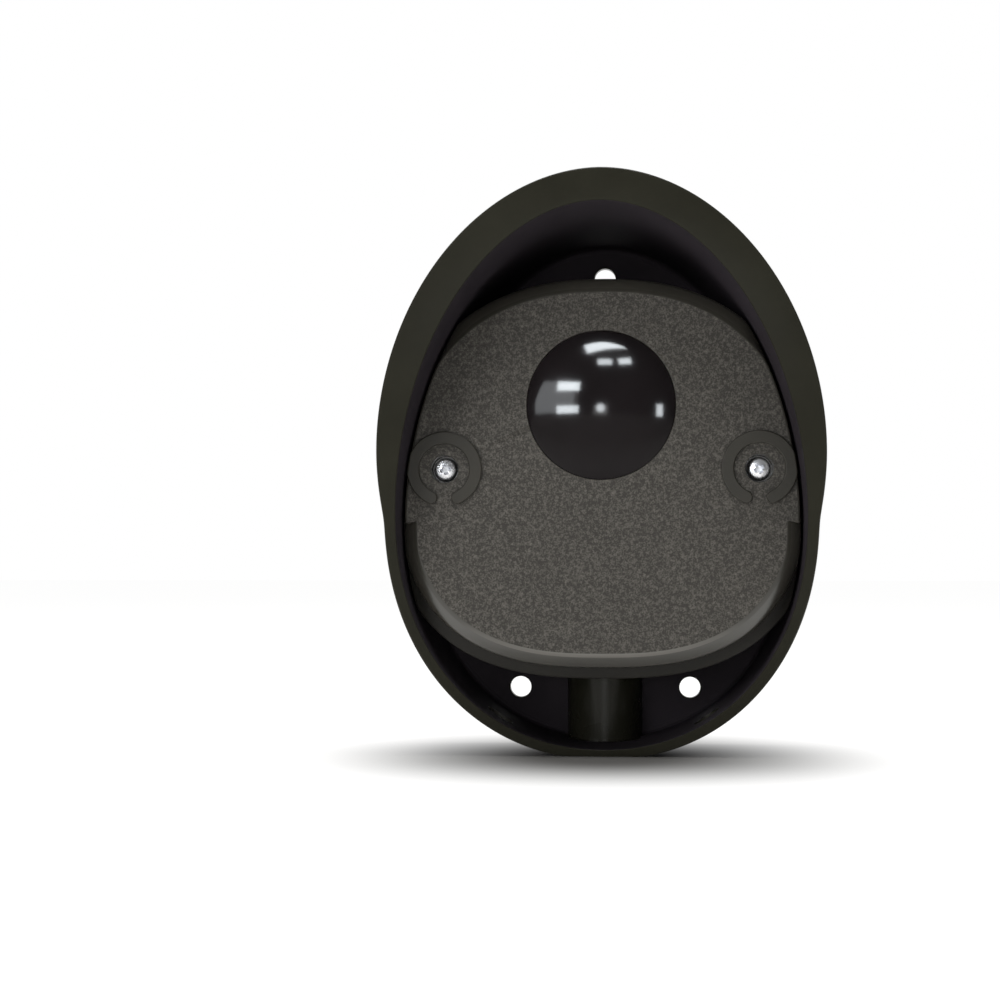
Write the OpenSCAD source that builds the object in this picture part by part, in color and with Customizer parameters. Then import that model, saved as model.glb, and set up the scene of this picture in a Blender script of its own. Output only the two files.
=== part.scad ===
// Hooded safety photocell for a powered gate: an oval hood with a slanted mouth, and in it a
// sealed housing with a dome window and a swivelling infrared eye.
// Millimetres. +Z is up, the eye looks along -Y, and Z = 0 is the flat foot of the hood.

/* [Hood] */
// Outside width of the hood tube at its widest place
hood_w = 97.6; // [95:0.2:104]
// Height of the hood tube above the foot
hood_h = 128.2; // [124:0.2:136]
// Depth of the hood, from its foremost point to the wall
hood_l = 68; // [62:0.5:80]
// Height of the widest place of the tube
hood_wide_z = 54; // [50:1:58]
// Wall of the tube
hood_wall = 2.6; // [2:0.1:3]
// Thickness of the back wall
back_wall = 2.6; // [2:0.1:4]
// Height cut off the round underside to make the foot
foot_cut = 0.9; // [0.4:0.1:1.4]
// How far the front lip stands out at the sides
lip_side = 1.3; // [0.6:0.1:2.4]
// How far the front lip stands out at the top
lip_top = 4.8; // [2:0.2:7]
// Thickness of the lip, front to back
lip_t = 5; // [3:0.5:8]
// Radius of the slanted mouth, seen from the side
mouth_r = 229; // [180:1:400]
// Distance from the top of the tube down to the foremost point of the mouth
mouth_drop = 7.2; // [2:0.2:16]

/* [Fixing and drain holes] */
// Diameter of the three fixing holes
fixing_d = 5.3; // [4.2:0.1:7]
// Distance from the widest place of the tube in to each low hole
fixing_inset = 27.4; // [25:0.1:30]
// Height of the two low holes
fixing_low_z = 14.5; // [12:0.5:16]
// Distance from the top of the tube down to the high hole
fixing_high_drop = 10.3; // [8:0.1:12]
// Diameter of the two drain holes
drain_d = 7.2; // [4:0.2:8]
// Width of the half-round cable channel
channel_w = 18.8; // [15:0.2:22]

/* [Housing] */
// How far the face of the cover lies behind the front of the hood
face_set = 19.6; // [16:0.2:24]
// How far the oval of the cover lies inside the outside of the hood at the sides
cover_trim = 1.4; // [0.8:0.1:3]
// Room between the top of the tube and the top of the cover
top_room = 16.7; // [14:0.1:20]
// Height of the bottom of the cover above the foot
cover_z = 21.8; // [20:0.1:24]
// Thickness of the front of the cover
cover_t = 2.6; // [2:0.1:3.2]
// Depth of the edge of the cover
edge_l = 4.4; // [3.8:0.1:6]
// Width of the bevel round the face
bevel_w = 3; // [2:0.1:4]
// How far the ledge of the housing stands out below the cover
ledge_w = 2.7; // [1.5:0.1:3]
// Wall of the rear housing
base_wall = 2.2; // [1.6:0.1:2.6]
// Height of the bosses that carry the housing
boss_h = 3; // [2:0.1:5]
// Clearance between the housing and the hood
side_gap = 0.5; // [0.3:0.1:1]

/* [Cover screws] */
// Distance from the side of the cover in to each cover screw, at the height of the screws
screw_inset = 8.63; // [8:0.01:11]
// How far the cover screws lie below the centre of the dome
screw_drop = 14.6; // [12:0.2:20]
// Thread diameter of the cover screws
screw_d = 3; // [2.5:0.1:3.2]
// Head diameter of the cover screws
head_d = 5; // [4.4:0.1:5.8]
// Diameter of the screw wells in the face
well_d = 6.2; // [6:0.1:7]
// Outer diameter of the raised ring round each well
ring_d = 17.4; // [15:0.2:18]
// Width of the raised ring
ring_w = 2.6; // [1.6:0.1:3.4]
// Height of the raised ring
ring_h = 0.9; // [0.4:0.1:1.6]
// Opening at the bottom of the raised ring
ring_slot = 3.6; // [2:0.1:6]

/* [Window and eye] */
// Visible diameter of the dome window
lens_d = 34; // [30:0.2:35]
// How far the dome stands out of the face
dome_h = 4.8; // [4.6:0.1:7]
// Wall of the dome
dome_t = 1.6; // [1.2:0.1:2]
// Distance from the top of the cover down to the centre of the dome
lens_drop = 29.3; // [28:0.1:32]
// How far the centre of the swivelling eye lies behind the face
pivot_set = 9.4; // [9.2:0.1:10]
// Diameter of the barrel that holds the eye
barrel_d = 14; // [12.6:0.2:14.4]
// Thickness of the circuit board
board_t = 1.6; // [1:0.2:2]

/* [Hidden] */

// Overrun of every cut past the face that it opens
over = 1;
// Play of a round piece in its bore, measured on the radius
play = 0.05;
// Gap between pieces that sit loosely in each other
loose = 0.3;
sides = [-1, 1];

// Roundness of the outlines: 2 is an ellipse, and more is squarer
hood_low_power = 2.12;
hood_top_power = 1.93;
cover_low_power = 2.65;
cover_top_power = 2.3;
outline_steps = 96;

// Planes from the face of the cover back to the wall
face_y = face_set - hood_l / 2;
edge_y = face_y + edge_l;
rim_gap = 0.4;
rim_y = edge_y + rim_gap;
wall_y = hood_l / 2;
back_y = wall_y - back_wall;
base_y = back_y - boss_h;
floor_t = 2.4;
floor_y = base_y - floor_t;
board_set = 26;
board_y = face_y + board_set;

// Places that follow from the hood
mouth_z = hood_h - mouth_drop;
fixing_x = hood_w / 2 - fixing_inset;
cover_w = hood_w - 2 * cover_trim;
cover_top_z = hood_h - top_room;
cover_h = cover_top_z - cover_z;
cover_wide_z = cover_z + cover_h / 2;
lens_z = cover_top_z - lens_drop;
screw_z = lens_z - screw_drop;
screw_up_share = abs(screw_z - hood_wide_z) / (hood_h - hood_wide_z);
hood_half_there = hood_w / 2 * pow(1 - pow(screw_up_share, hood_top_power), 1 / hood_top_power);
post_x = hood_half_there - hood_wall - side_gap - screw_inset;
mouth_foot_y = mouth_r - hood_l / 2 - sqrt(pow(mouth_r, 2) - pow(mouth_z, 2));

// Lip: a full layer at the mouth and a lower one behind it
lip_wide_rise = 15.3;
lip_reach_shares = [1, 0.45];
lip_depth_shares = [0.6, 1];

// Drain holes, drilled square to the tube wall
drain_turn = 29;
drain_set = 9;

// Cable channel, and the bosses that carry the housing
channel_wall = 2;
channel_top_z = cover_z - ledge_w - loose;
boss_d = 9;
base_screw_d = 3;
base_screw_x = 20;
base_screw_rise = 28.2;
base_screw_lift = 5.8;
base_screw_zs = [cover_z + base_screw_rise, lens_z + base_screw_lift];
base_head_d = 5.6;
base_head_h = 2;
thread_floor = 0.8;

// Grommet
grommet_z = 36;
grommet_d = 10;
grommet_flange_d = 13;
grommet_flange_t = 1.2;
cable_d = 5;

// Cover and the edge of the housing
bevel_l = 2.4;
bevel_steps = 3;
face_side = 1.8;
face_wide_drop = 3.65;
face_wide_z = cover_wide_z - face_wide_drop;
ear_down = 12.6;
ear_low_z = screw_z - ear_down;
ear_inset = 0.3;
base_step = 1.8;
ledge_l = 3.2;
ledge_drop = 16.6;
ledge_top_z = cover_wide_z - ledge_drop;
cavity_inset = base_step + base_wall;
spigot_w = 1.6;
spigot_l = 4;
groove_inset = 1.4;
groove_w = 1.6;
groove_l = 1;
seal_play = 0.1;

// Cover screws, their seals, posts and inserts
cover_boss_d = 9.2;
cover_boss_l = 6.4;
well_l = 4.9;
seal_t = 0.8;
seal_d = 5.6;
head_h = 2.2;
head_crown = 0.5;
shank_l = 13.4;
hole_play = 0.2;
post_d = 8.4;
post_y = face_y + cover_t + cover_boss_l + loose;
insert_d = 4.6;
insert_l = 8;
cross_w = 0.9;
cross_l = 3.2;
cross_t = 1.2;

// Dome window and what holds it
dome_r = (pow(lens_d / 2, 2) + pow(dome_h, 2)) / (2 * dome_h);
dome_y = face_y - dome_h + dome_r;
dome_bore_r = sqrt(pow(dome_r - dome_t, 2) - pow(dome_r - dome_h, 2));
flange_w = 2.5;
flange_t = 1.4;
window_seal_t = 0.6;
seat_w = 1.6;
seat_y = face_y + cover_t + window_seal_t + flange_t;
flange_d = lens_d + 2 * flange_w;
seat_d = flange_d + 2 * seat_w + 2 * play;
retainer_t = 1.4;
retainer_screw_d = 2;
retainer_head_d = 3.8;
retainer_head_h = 1.3;
retainer_screw_l = 4;
retainer_boss_d = 5.2;
retainer_turns = [30, 150, 270];
retainer_r = seat_d / 2 + retainer_screw_d;

// Swivelling eye: its two pivots cross behind the dome
pivot_y = face_y + pivot_set;
barrel_front = 9.4;
barrel_back = 8;
barrel_wall = 1.1;
lens_seat_wall = 0.7;
lens_seat_l = 2;
trunnion_d = 2.4;
yoke_gap = 1.6;
yoke_bore_d = barrel_d + 2 * yoke_gap;
yoke_w = 2.6;
yoke_t = 3;
yoke_d = yoke_bore_d + 2 * yoke_w;
arm_gap = 0.8;
arm_t = 2.5;
arm_w = 7;
arm_in = yoke_d / 2 + arm_gap;
arm_out = arm_in + arm_t;
arm_nose = 3;
foot_w = 16;
foot_t = 2;
diode_d = 5;
diode_l = 6;
diode_flange_d = 5.8;
diode_flange_t = 1;
diode_set = 5;
lead_d = 0.6;
lead_gap = 2.54;
eye_board_t = 1.2;
eye_board_d = barrel_d - 1;
bulge_h = 1.5;

// Circuit board and its screws
board_post_gap = 2.9;
board_w = 2 * (post_x - post_d / 2 - board_post_gap);
board_rise = 12.2;
board_drop = 12.5;
board_low_z = cover_z + board_rise;
board_top_z = cover_top_z - board_drop;
board_h = board_top_z - board_low_z;
board_corner_r = 8;
board_screw_edge = 4;
board_screw_x = board_w / 2 - board_screw_edge;
board_screw_zs = [board_low_z + board_screw_edge, board_top_z - board_screw_edge];
board_screw_d = 2.5;
board_head_d = 4.6;
board_head_h = 1.6;
board_screw_l = 8;
board_post_d = 6;

// Terminal block
ways = 5;
way_gap = 5.08;
block_h = 10;
block_l = 10.5;
block_edge = 1;
block_z = board_low_z + block_edge;
block_end = 1;
block_w = ways * way_gap + block_end;
block_screw_d = 3.4;
block_screw_h = 2.5;
block_screw_sink = 0.8;
block_well_l = 4;
mouth_side = 3.2;
mouth_l = 5;
slot_w = 0.7;
slot_l = 0.8;

// Relay and capacitors above the terminal block, out at the two edges of the board
parts_gap = 3;
parts_z = block_z + block_h + parts_gap;
relay_size = [18, 12.5];
relay_l = 15;
relay_edge = 1;
relay_x = relay_edge - board_w / 2;
can_d = 8;
can_l = 11;
can_edge = 2;
can_gap = 9;
can_xs = [for (i = [0, 1]) board_w / 2 - can_edge - can_d / 2 - i * can_gap];
can_z = parts_z + can_d / 2;

// Other parts on the circuit board
chip_size = [7, 6];
chip_t = 1.6;
chip_foot = 0.2;
chip_edge = 9;
chip_drop = 12;
chip_at = [board_w / 2 - chip_edge, board_top_z - chip_drop];
leg_count = 4;
leg_gap = 1.8;
leg_w = 0.5;
leg_l = 1.2;
led_d = 3;
led_l = 5;
led_drop = 9;
led_at = [-foot_w / 2 - led_d - 1, board_top_z - led_drop];
trimmer_side = 6.6;
trimmer_l = 4.8;
trimmer_edge = 9;
trimmer_rise = 1.2;
trimmer_at = [
    trimmer_edge - board_w / 2,
    parts_z + relay_size[1] + trimmer_rise + trimmer_side / 2
];
rotor_d = 4.2;
rotor_l = 2.4;
rotor_proud = 0.6;
pin_gap = 2.54;
pin_count = 3;
pin_side = 0.64;
pin_l = 8.5;
header_t = 2.5;
header_h = 2.5;
jumper_edge = 8.5;
jumper_rise = 2;
jumper_at = [board_w / 2 - jumper_edge, parts_z + can_d + jumper_rise + header_h / 2];
jumper_w = 5;
jumper_h = 2.4;
jumper_l = 7;
jumper_play = 0.1;

// Oval outline with its own roundness below and above its widest place
function egg(half_w, low_z, wide_z, top_z, low_power, top_power) = [
    for (i = [0 : outline_steps - 1])
        let (
            a = 360 * i / outline_steps,
            up = cos(a) >= 0,
            power = 2 / (up ? top_power : low_power),
            reach = up ? top_z - wide_z : wide_z - low_z
        )
        [
            half_w * sign(sin(a)) * pow(abs(sin(a)), power),
            wide_z + reach * sign(cos(a)) * pow(abs(cos(a)), power)
        ]
];

module along_y(from, to) {
    translate([0, to, 0])
        rotate([90, 0, 0])
            linear_extrude(to - from)
                children();
}

module rod_y(d, from, to, x = 0, z = 0) {
    translate([x, to, z])
        rotate([90, 0, 0])
            cylinder(d = d, h = to - from, $fn = 64);
}

module rod_x(d, from, to, y = 0, z = 0) {
    translate([from, y, z])
        rotate([0, 90, 0])
            cylinder(d = d, h = to - from, $fn = 64);
}

module rod_z(d, from, to, x = 0, y = 0) {
    translate([x, y, from])
        cylinder(d = d, h = to - from, $fn = 64);
}

// Box from one corner to the other
module box(low, high) {
    translate(low)
        cube(high - low);
}

module tube_y(outer, inner, from, to, x = 0, z = 0) {
    difference() {
        rod_y(outer, from, to, x, z);
        rod_y(inner, from - over, to + over, x, z);
    }
}

module hood_outline(inset = 0) {
    polygon(egg(
        hood_w / 2 - inset, inset - foot_cut, hood_wide_z, hood_h - inset,
        hood_low_power, hood_top_power
    ));
}

module lip_outline(reach) {
    wide_z = hood_wide_z + lip_wide_rise;
    top_z = hood_h + lip_top * reach;
    polygon(egg(
        hood_w / 2 + lip_side * reach, 2 * wide_z - top_z, wide_z, top_z,
        hood_top_power, hood_top_power
    ));
}

// Everything behind the slanted mouth, or behind a surface set back from it
module behind_mouth(set = 0) {
    rod_x(2 * (mouth_r - set), -hood_w, hood_w, mouth_r - hood_l / 2, mouth_z);
}

// Outline of the housing: an oval that the hood trims at its upper sides
module housing_outline(inset = 0) {
    intersection() {
        polygon(egg(
            cover_w / 2 - inset, cover_z + inset, cover_wide_z, cover_top_z - inset,
            cover_low_power, cover_top_power
        ));
        hood_outline(hood_wall + side_gap + inset);
    }
}

module housing_ring(inset, width) {
    difference() {
        housing_outline(inset);
        housing_outline(inset + width);
    }
}

// The flat face: inside the bevel, and out to the edge beside the screws, where the bevel
// runs out at the top and stops in a step below them
module face_outline() {
    face_top_z = cover_top_z - bevel_w;
    housing_outline(bevel_w);
    intersection() {
        housing_outline(ear_inset);
        polygon(egg(
            cover_w / 2 - face_side, 2 * face_wide_z - face_top_z, face_wide_z, face_top_z,
            cover_top_power, cover_top_power
        ));
        translate([-cover_w / 2, ear_low_z])
            square([cover_w, cover_h]);
    }
}

module ledge_outline() {
    housing_outline();
    intersection() {
        polygon(egg(
            cover_w / 2 + ledge_w, cover_z - ledge_w, cover_wide_z, cover_top_z,
            cover_low_power, cover_top_power
        ));
        hood_outline(hood_wall + side_gap);
        translate([-cover_w, 0])
            square([2 * cover_w, ledge_top_z]);
    }
}

// Low pillar head with a rounded crown, seat at `to` and crown towards `from`
module crowned_head(d, from, to, x, z) {
    crown_r = (pow(d / 2, 2) + pow(head_crown, 2)) / (2 * head_crown);
    intersection() {
        rod_y(d, from, to, x, z);
        translate([x, from + crown_r, z])
            sphere(crown_r, $fn = 64);
    }
}

module fixing_holes() {
    for (side = sides)
        rod_y(fixing_d, back_y - over, wall_y + over, side * fixing_x, fixing_low_z);
    rod_y(fixing_d, back_y - over, wall_y + over, 0, hood_h - fixing_high_drop);
}

module drain_holes() {
    for (side = sides)
        translate([0, mouth_foot_y + drain_set, hood_wide_z])
            rotate([0, side * drain_turn, 0])
                rod_z(drain_d, -hood_h, -hood_wide_z / 2);
}

module channel_groove() {
    groove_d = channel_w - 2 * channel_wall;
    rod_z(groove_d, -over, channel_top_z + over, 0, back_y);
    box([-groove_d / 2, back_y - over, -over], [groove_d / 2, wall_y + over, grommet_z]);
    rod_y(groove_d, back_y - over, wall_y + over, 0, grommet_z);
}

module hood_bosses() {
    for (side = sides, z = base_screw_zs)
        rod_y(boss_d, base_y, back_y + back_wall / 2, side * base_screw_x, z);
}

module hood() {
    color([0.13, 0.13, 0.12])
        difference() {
            union() {
                difference() {
                    intersection() {
                        union() {
                            along_y(-hood_l / 2, wall_y)
                                hood_outline();
                            for (i = [0 : len(lip_reach_shares) - 1])
                                difference() {
                                    along_y(-hood_l / 2, 0)
                                        lip_outline(lip_reach_shares[i]);
                                    behind_mouth(lip_t * lip_depth_shares[i]);
                                }
                        }
                        behind_mouth();
                        box([-hood_w, -hood_l, 0], [hood_w, hood_l, 2 * hood_h]);
                    }
                    along_y(-hood_l / 2 - over, back_y)
                        hood_outline(hood_wall);
                }
                intersection() {
                    rod_z(channel_w, 0, channel_top_z, 0, back_y);
                    along_y(0, wall_y)
                        hood_outline();
                }
                hood_bosses();
            }
            fixing_holes();
            drain_holes();
            channel_groove();
            for (side = sides, z = base_screw_zs)
                rod_y(
                    base_screw_d + 2 * play, base_y - over, wall_y - thread_floor,
                    side * base_screw_x, z
                );
        }
}

module base_posts() {
    for (side = sides)
        rod_y(post_d, post_y, floor_y + floor_t / 2, side * post_x, screw_z);
    for (side = sides, z = board_screw_zs)
        rod_y(board_post_d, board_y + board_t, floor_y + floor_t / 2, side * board_screw_x, z);
}

module base_housing() {
    color([0.17, 0.17, 0.17])
        difference() {
            union() {
                difference() {
                    union() {
                        along_y(rim_y, rim_y + ledge_l)
                            ledge_outline();
                        along_y(rim_y, base_y)
                            housing_outline(base_step);
                    }
                    along_y(rim_y - over, floor_y)
                        housing_outline(cavity_inset);
                    along_y(rim_y - over, rim_y + groove_l)
                        housing_ring(groove_inset, groove_w);
                }
                base_posts();
            }
            for (side = sides) {
                rod_y(
                    insert_d + 2 * play, post_y - over, post_y + insert_l,
                    side * post_x, screw_z
                );
                rod_y(
                    screw_d + 2 * hole_play, post_y, face_y + well_l + shank_l + over,
                    side * post_x, screw_z
                );
                for (z = board_screw_zs)
                    rod_y(
                        board_screw_d + 2 * play, board_y, board_y + board_screw_l + over,
                        side * board_screw_x, z
                    );
                for (z = base_screw_zs)
                    rod_y(
                        base_screw_d + 2 * hole_play, floor_y - over, base_y + over,
                        side * base_screw_x, z
                    );
            }
            rod_y(grommet_d + 2 * play, floor_y - over, base_y + over, 0, grommet_z);
        }
}

module base_screws() {
    color([0.72, 0.72, 0.74])
        for (side = sides, z = base_screw_zs)
            difference() {
                union() {
                    rod_y(
                        base_head_d, floor_y - base_head_h, floor_y,
                        side * base_screw_x, z
                    );
                    rod_y(
                        base_screw_d, floor_y - base_head_h / 2,
                        wall_y - thread_floor - loose, side * base_screw_x, z
                    );
                }
                cross_recess(floor_y - base_head_h, side * base_screw_x, z);
            }
}

module cable_grommet() {
    color([0.09, 0.09, 0.09])
        difference() {
            union() {
                rod_y(grommet_d, floor_y, base_y, 0, grommet_z);
                rod_y(grommet_flange_d, floor_y - grommet_flange_t, floor_y, 0, grommet_z);
                rod_y(grommet_flange_d, base_y, base_y + grommet_flange_t, 0, grommet_z);
            }
            rod_y(cable_d, floor_y - back_wall, back_y, 0, grommet_z);
        }
}

module threaded_inserts() {
    color([0.78, 0.62, 0.3])
        for (side = sides)
            tube_y(
                insert_d, screw_d + 2 * play, post_y, post_y + insert_l,
                side * post_x, screw_z
            );
}

module cover_gasket() {
    color([0.28, 0.28, 0.27])
        along_y(edge_y, rim_y + groove_l)
            housing_ring(groove_inset + seal_play, groove_w - 2 * seal_play);
}

// Upright rounded rectangle, standing on its lower edge
module round_plate(width, height, corner_r) {
    translate([-width / 2, corner_r])
        square([width, height - 2 * corner_r]);
    translate([corner_r - width / 2, 0])
        square([width - 2 * corner_r, height]);
    for (x = sides, z = [corner_r, height - corner_r])
        translate([x * (width / 2 - corner_r), z])
            circle(corner_r, $fn = 64);
}

module circuit_board() {
    color([0.09, 0.33, 0.18])
        difference() {
            along_y(board_y, board_y + board_t)
                translate([0, board_low_z])
                    round_plate(board_w, board_h, board_corner_r);
            for (side = sides, z = board_screw_zs)
                rod_y(
                    board_screw_d + 2 * hole_play, board_y - over, board_y + board_t + over,
                    side * board_screw_x, z
                );
        }
}

module board_screws() {
    color([0.75, 0.75, 0.77])
        for (side = sides, z = board_screw_zs)
            difference() {
                union() {
                    rod_y(
                        board_head_d, board_y - board_head_h, board_y,
                        side * board_screw_x, z
                    );
                    rod_y(
                        board_screw_d, board_y - board_head_h / 2, board_y + board_screw_l,
                        side * board_screw_x, z
                    );
                }
                cross_recess(board_y - board_head_h, side * board_screw_x, z);
            }
}

function way_x(i) = (i - (ways - 1) / 2) * way_gap;

module terminal_block() {
    color([0.12, 0.42, 0.25])
        difference() {
            box(
                [-block_w / 2, board_y - block_l, block_z],
                [block_w / 2, board_y, block_z + block_h]
            );
            for (i = [0 : ways - 1]) {
                rod_y(
                    block_screw_d + 2 * play, board_y - block_l - over,
                    board_y - block_l + block_well_l, way_x(i), block_z + block_h / 2
                );
                translate([
                    way_x(i) - mouth_side / 2, board_y - block_l / 2 - mouth_side / 2,
                    block_z - over
                ])
                    cube([mouth_side, mouth_side, mouth_l + over]);
            }
        }
}

module terminal_screws() {
    head_y = board_y - block_l + block_screw_sink;
    color([0.78, 0.78, 0.8])
        for (i = [0 : ways - 1])
            difference() {
                rod_y(
                    block_screw_d, head_y, board_y - block_l + block_well_l,
                    way_x(i), block_z + block_h / 2
                );
                translate([
                    way_x(i) - block_screw_d, head_y - over,
                    block_z + block_h / 2 - slot_w / 2
                ])
                    cube([2 * block_screw_d, slot_l + over, slot_w]);
            }
}

module relay() {
    color([0.12, 0.16, 0.3])
        box(
            [relay_x, board_y - relay_l, parts_z],
            [relay_x + relay_size[0], board_y, parts_z + relay_size[1]]
        );
}

module capacitors() {
    color([0.16, 0.18, 0.22])
        for (x = can_xs)
            rod_y(can_d, board_y - can_l, board_y, x, can_z);
}

module control_chip() {
    color([0.1, 0.1, 0.1])
        union() {
            translate([
                chip_at[0] - chip_size[0] / 2, board_y - chip_t,
                chip_at[1] - chip_size[1] / 2
            ])
                cube([chip_size[0], chip_t - chip_foot, chip_size[1]]);
            for (i = [0 : leg_count - 1], side = sides)
                translate([
                    chip_at[0] + (i - (leg_count - 1) / 2) * leg_gap - leg_w / 2,
                    board_y - chip_t / 2,
                    chip_at[1] + side * chip_size[1] / 2 - leg_l
                ])
                    cube([leg_w, chip_t / 2, 2 * leg_l]);
        }
}

module status_led() {
    color([0.75, 0.12, 0.1])
        union() {
            rod_y(led_d, board_y - led_l + led_d / 2, board_y, led_at[0], led_at[1]);
            translate([led_at[0], board_y - led_l + led_d / 2, led_at[1]])
                sphere(d = led_d, $fn = 48);
        }
}

module trimmer_body() {
    color([0.15, 0.3, 0.55])
        difference() {
            translate([
                trimmer_at[0] - trimmer_side / 2, board_y - trimmer_l,
                trimmer_at[1] - trimmer_side / 2
            ])
                cube([trimmer_side, trimmer_l, trimmer_side]);
            rod_y(
                rotor_d + 2 * play, board_y - trimmer_l - over, board_y - trimmer_l + rotor_l,
                trimmer_at[0], trimmer_at[1]
            );
        }
}

module trimmer_rotor() {
    front_y = board_y - trimmer_l - rotor_proud;
    color([0.85, 0.83, 0.75])
        difference() {
            rod_y(
                rotor_d, front_y, board_y - trimmer_l + rotor_l,
                trimmer_at[0], trimmer_at[1]
            );
            translate([trimmer_at[0] - slot_w / 2, front_y - over, trimmer_at[1] - rotor_d])
                cube([slot_w, slot_l + over, 2 * rotor_d]);
        }
}

module pin_row(side_w, count, from, to) {
    for (i = [0 : count - 1])
        translate([
            jumper_at[0] + (i - (pin_count - 1) / 2) * pin_gap - side_w / 2, from,
            jumper_at[1] - side_w / 2
        ])
            cube([side_w, to - from, side_w]);
}

module jumper_pins() {
    row_w = pin_count * pin_gap;
    color([0.8, 0.68, 0.35])
        union() {
            translate([
                jumper_at[0] - row_w / 2, board_y - header_t, jumper_at[1] - header_h / 2
            ])
                cube([row_w, header_t, header_h]);
            pin_row(pin_side, pin_count, board_y - pin_l, board_y);
        }
}

module mode_jumper() {
    color([0.08, 0.08, 0.1])
        difference() {
            translate([
                jumper_at[0] - pin_gap / 2 - jumper_w / 2, board_y - header_t - jumper_l,
                jumper_at[1] - jumper_h / 2
            ])
                cube([jumper_w, jumper_l, jumper_h]);
            pin_row(
                pin_side + 2 * jumper_play, 2, board_y - pin_l - jumper_play,
                board_y - header_t + over
            );
        }
}

module optic_bracket() {
    color([0.2, 0.2, 0.21])
        difference() {
            union() {
                box(
                    [-foot_w / 2, board_y - foot_t, lens_z - arm_out],
                    [foot_w / 2, board_y, lens_z + arm_out]
                );
                for (side = sides)
                    translate([
                        -arm_w / 2, pivot_y - arm_nose,
                        lens_z + side * (arm_in + arm_out) / 2 - arm_t / 2
                    ])
                        cube([arm_w, board_y - foot_t / 2 - pivot_y + arm_nose, arm_t]);
            }
            rod_z(
                trunnion_d + 2 * play, lens_z - arm_out - over, lens_z + arm_out + over,
                0, pivot_y
            );
        }
}

module swivel_yoke() {
    pin_end = arm_out - play;
    color([0.3, 0.3, 0.32])
        difference() {
            union() {
                rod_y(yoke_d, pivot_y - yoke_t / 2, pivot_y + yoke_t / 2, 0, lens_z);
                rod_z(trunnion_d, lens_z - pin_end, lens_z + pin_end, 0, pivot_y);
            }
            rod_y(yoke_bore_d, pivot_y - yoke_t, pivot_y + yoke_t, 0, lens_z);
            rod_x(trunnion_d + 2 * play, -yoke_d, yoke_d, pivot_y, lens_z);
        }
}

module eye_barrel() {
    bore_d = barrel_d - 2 * barrel_wall;
    back_end = pivot_y + barrel_back;
    color([0.12, 0.12, 0.13])
        difference() {
            union() {
                rod_y(barrel_d, pivot_y - barrel_front, back_end, 0, lens_z);
                rod_x(trunnion_d, -yoke_d / 2, yoke_d / 2, pivot_y, lens_z);
            }
            rod_y(
                barrel_d - 2 * lens_seat_wall, pivot_y - barrel_front - over,
                pivot_y - barrel_front + lens_seat_l, 0, lens_z
            );
            rod_y(bore_d, pivot_y - barrel_front, pivot_y + diode_set - floor_t, 0, lens_z);
            rod_y(diode_d + 2 * play, pivot_y, back_end + over, 0, lens_z);
            rod_y(bore_d, pivot_y + diode_set, back_end + over, 0, lens_z);
        }
}

module focus_lens() {
    lens_r = barrel_d / 2 - lens_seat_wall - play;
    bulge_r = (pow(lens_r, 2) + pow(bulge_h, 2)) / (2 * bulge_h);
    front_y = pivot_y - barrel_front;
    color([0.75, 0.8, 0.85])
        intersection() {
            rod_y(2 * lens_r, front_y - bulge_h - over, front_y + lens_seat_l, 0, lens_z);
            translate([0, front_y - bulge_h + bulge_r, lens_z])
                sphere(bulge_r, $fn = 96);
        }
}

module infrared_diode() {
    seat_at = pivot_y + diode_set;
    front_y = seat_at - diode_l;
    lead_from = seat_at + diode_flange_t / 2;
    color([0.25, 0.16, 0.3])
        union() {
            intersection() {
                rod_y(diode_d, front_y, lead_from, 0, lens_z);
                translate([0, front_y + diode_d, lens_z])
                    sphere(diode_d, $fn = 64);
            }
            rod_y(diode_flange_d, seat_at, seat_at + diode_flange_t, 0, lens_z);
            for (side = sides)
                rod_y(lead_d, lead_from, pivot_y + barrel_back, side * lead_gap / 2, lens_z);
        }
}

module eye_board() {
    color([0.09, 0.33, 0.18])
        rod_y(
            eye_board_d, pivot_y + barrel_back, pivot_y + barrel_back + eye_board_t,
            0, lens_z
        );
}

module raised_rings() {
    along_y(face_y - ring_h, face_y)
        intersection() {
            housing_outline(ear_inset);
            for (side = sides)
                translate([side * post_x, screw_z])
                    difference() {
                        circle(d = ring_d, $fn = 96);
                        circle(d = ring_d - 2 * ring_w, $fn = 96);
                        translate([-ring_slot / 2, -ring_d])
                            square([ring_slot, ring_d]);
                    }
        }
}

module retainer_places() {
    for (turn = retainer_turns)
        translate([retainer_r * cos(turn), 0, lens_z + retainer_r * sin(turn)])
            children();
}

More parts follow.
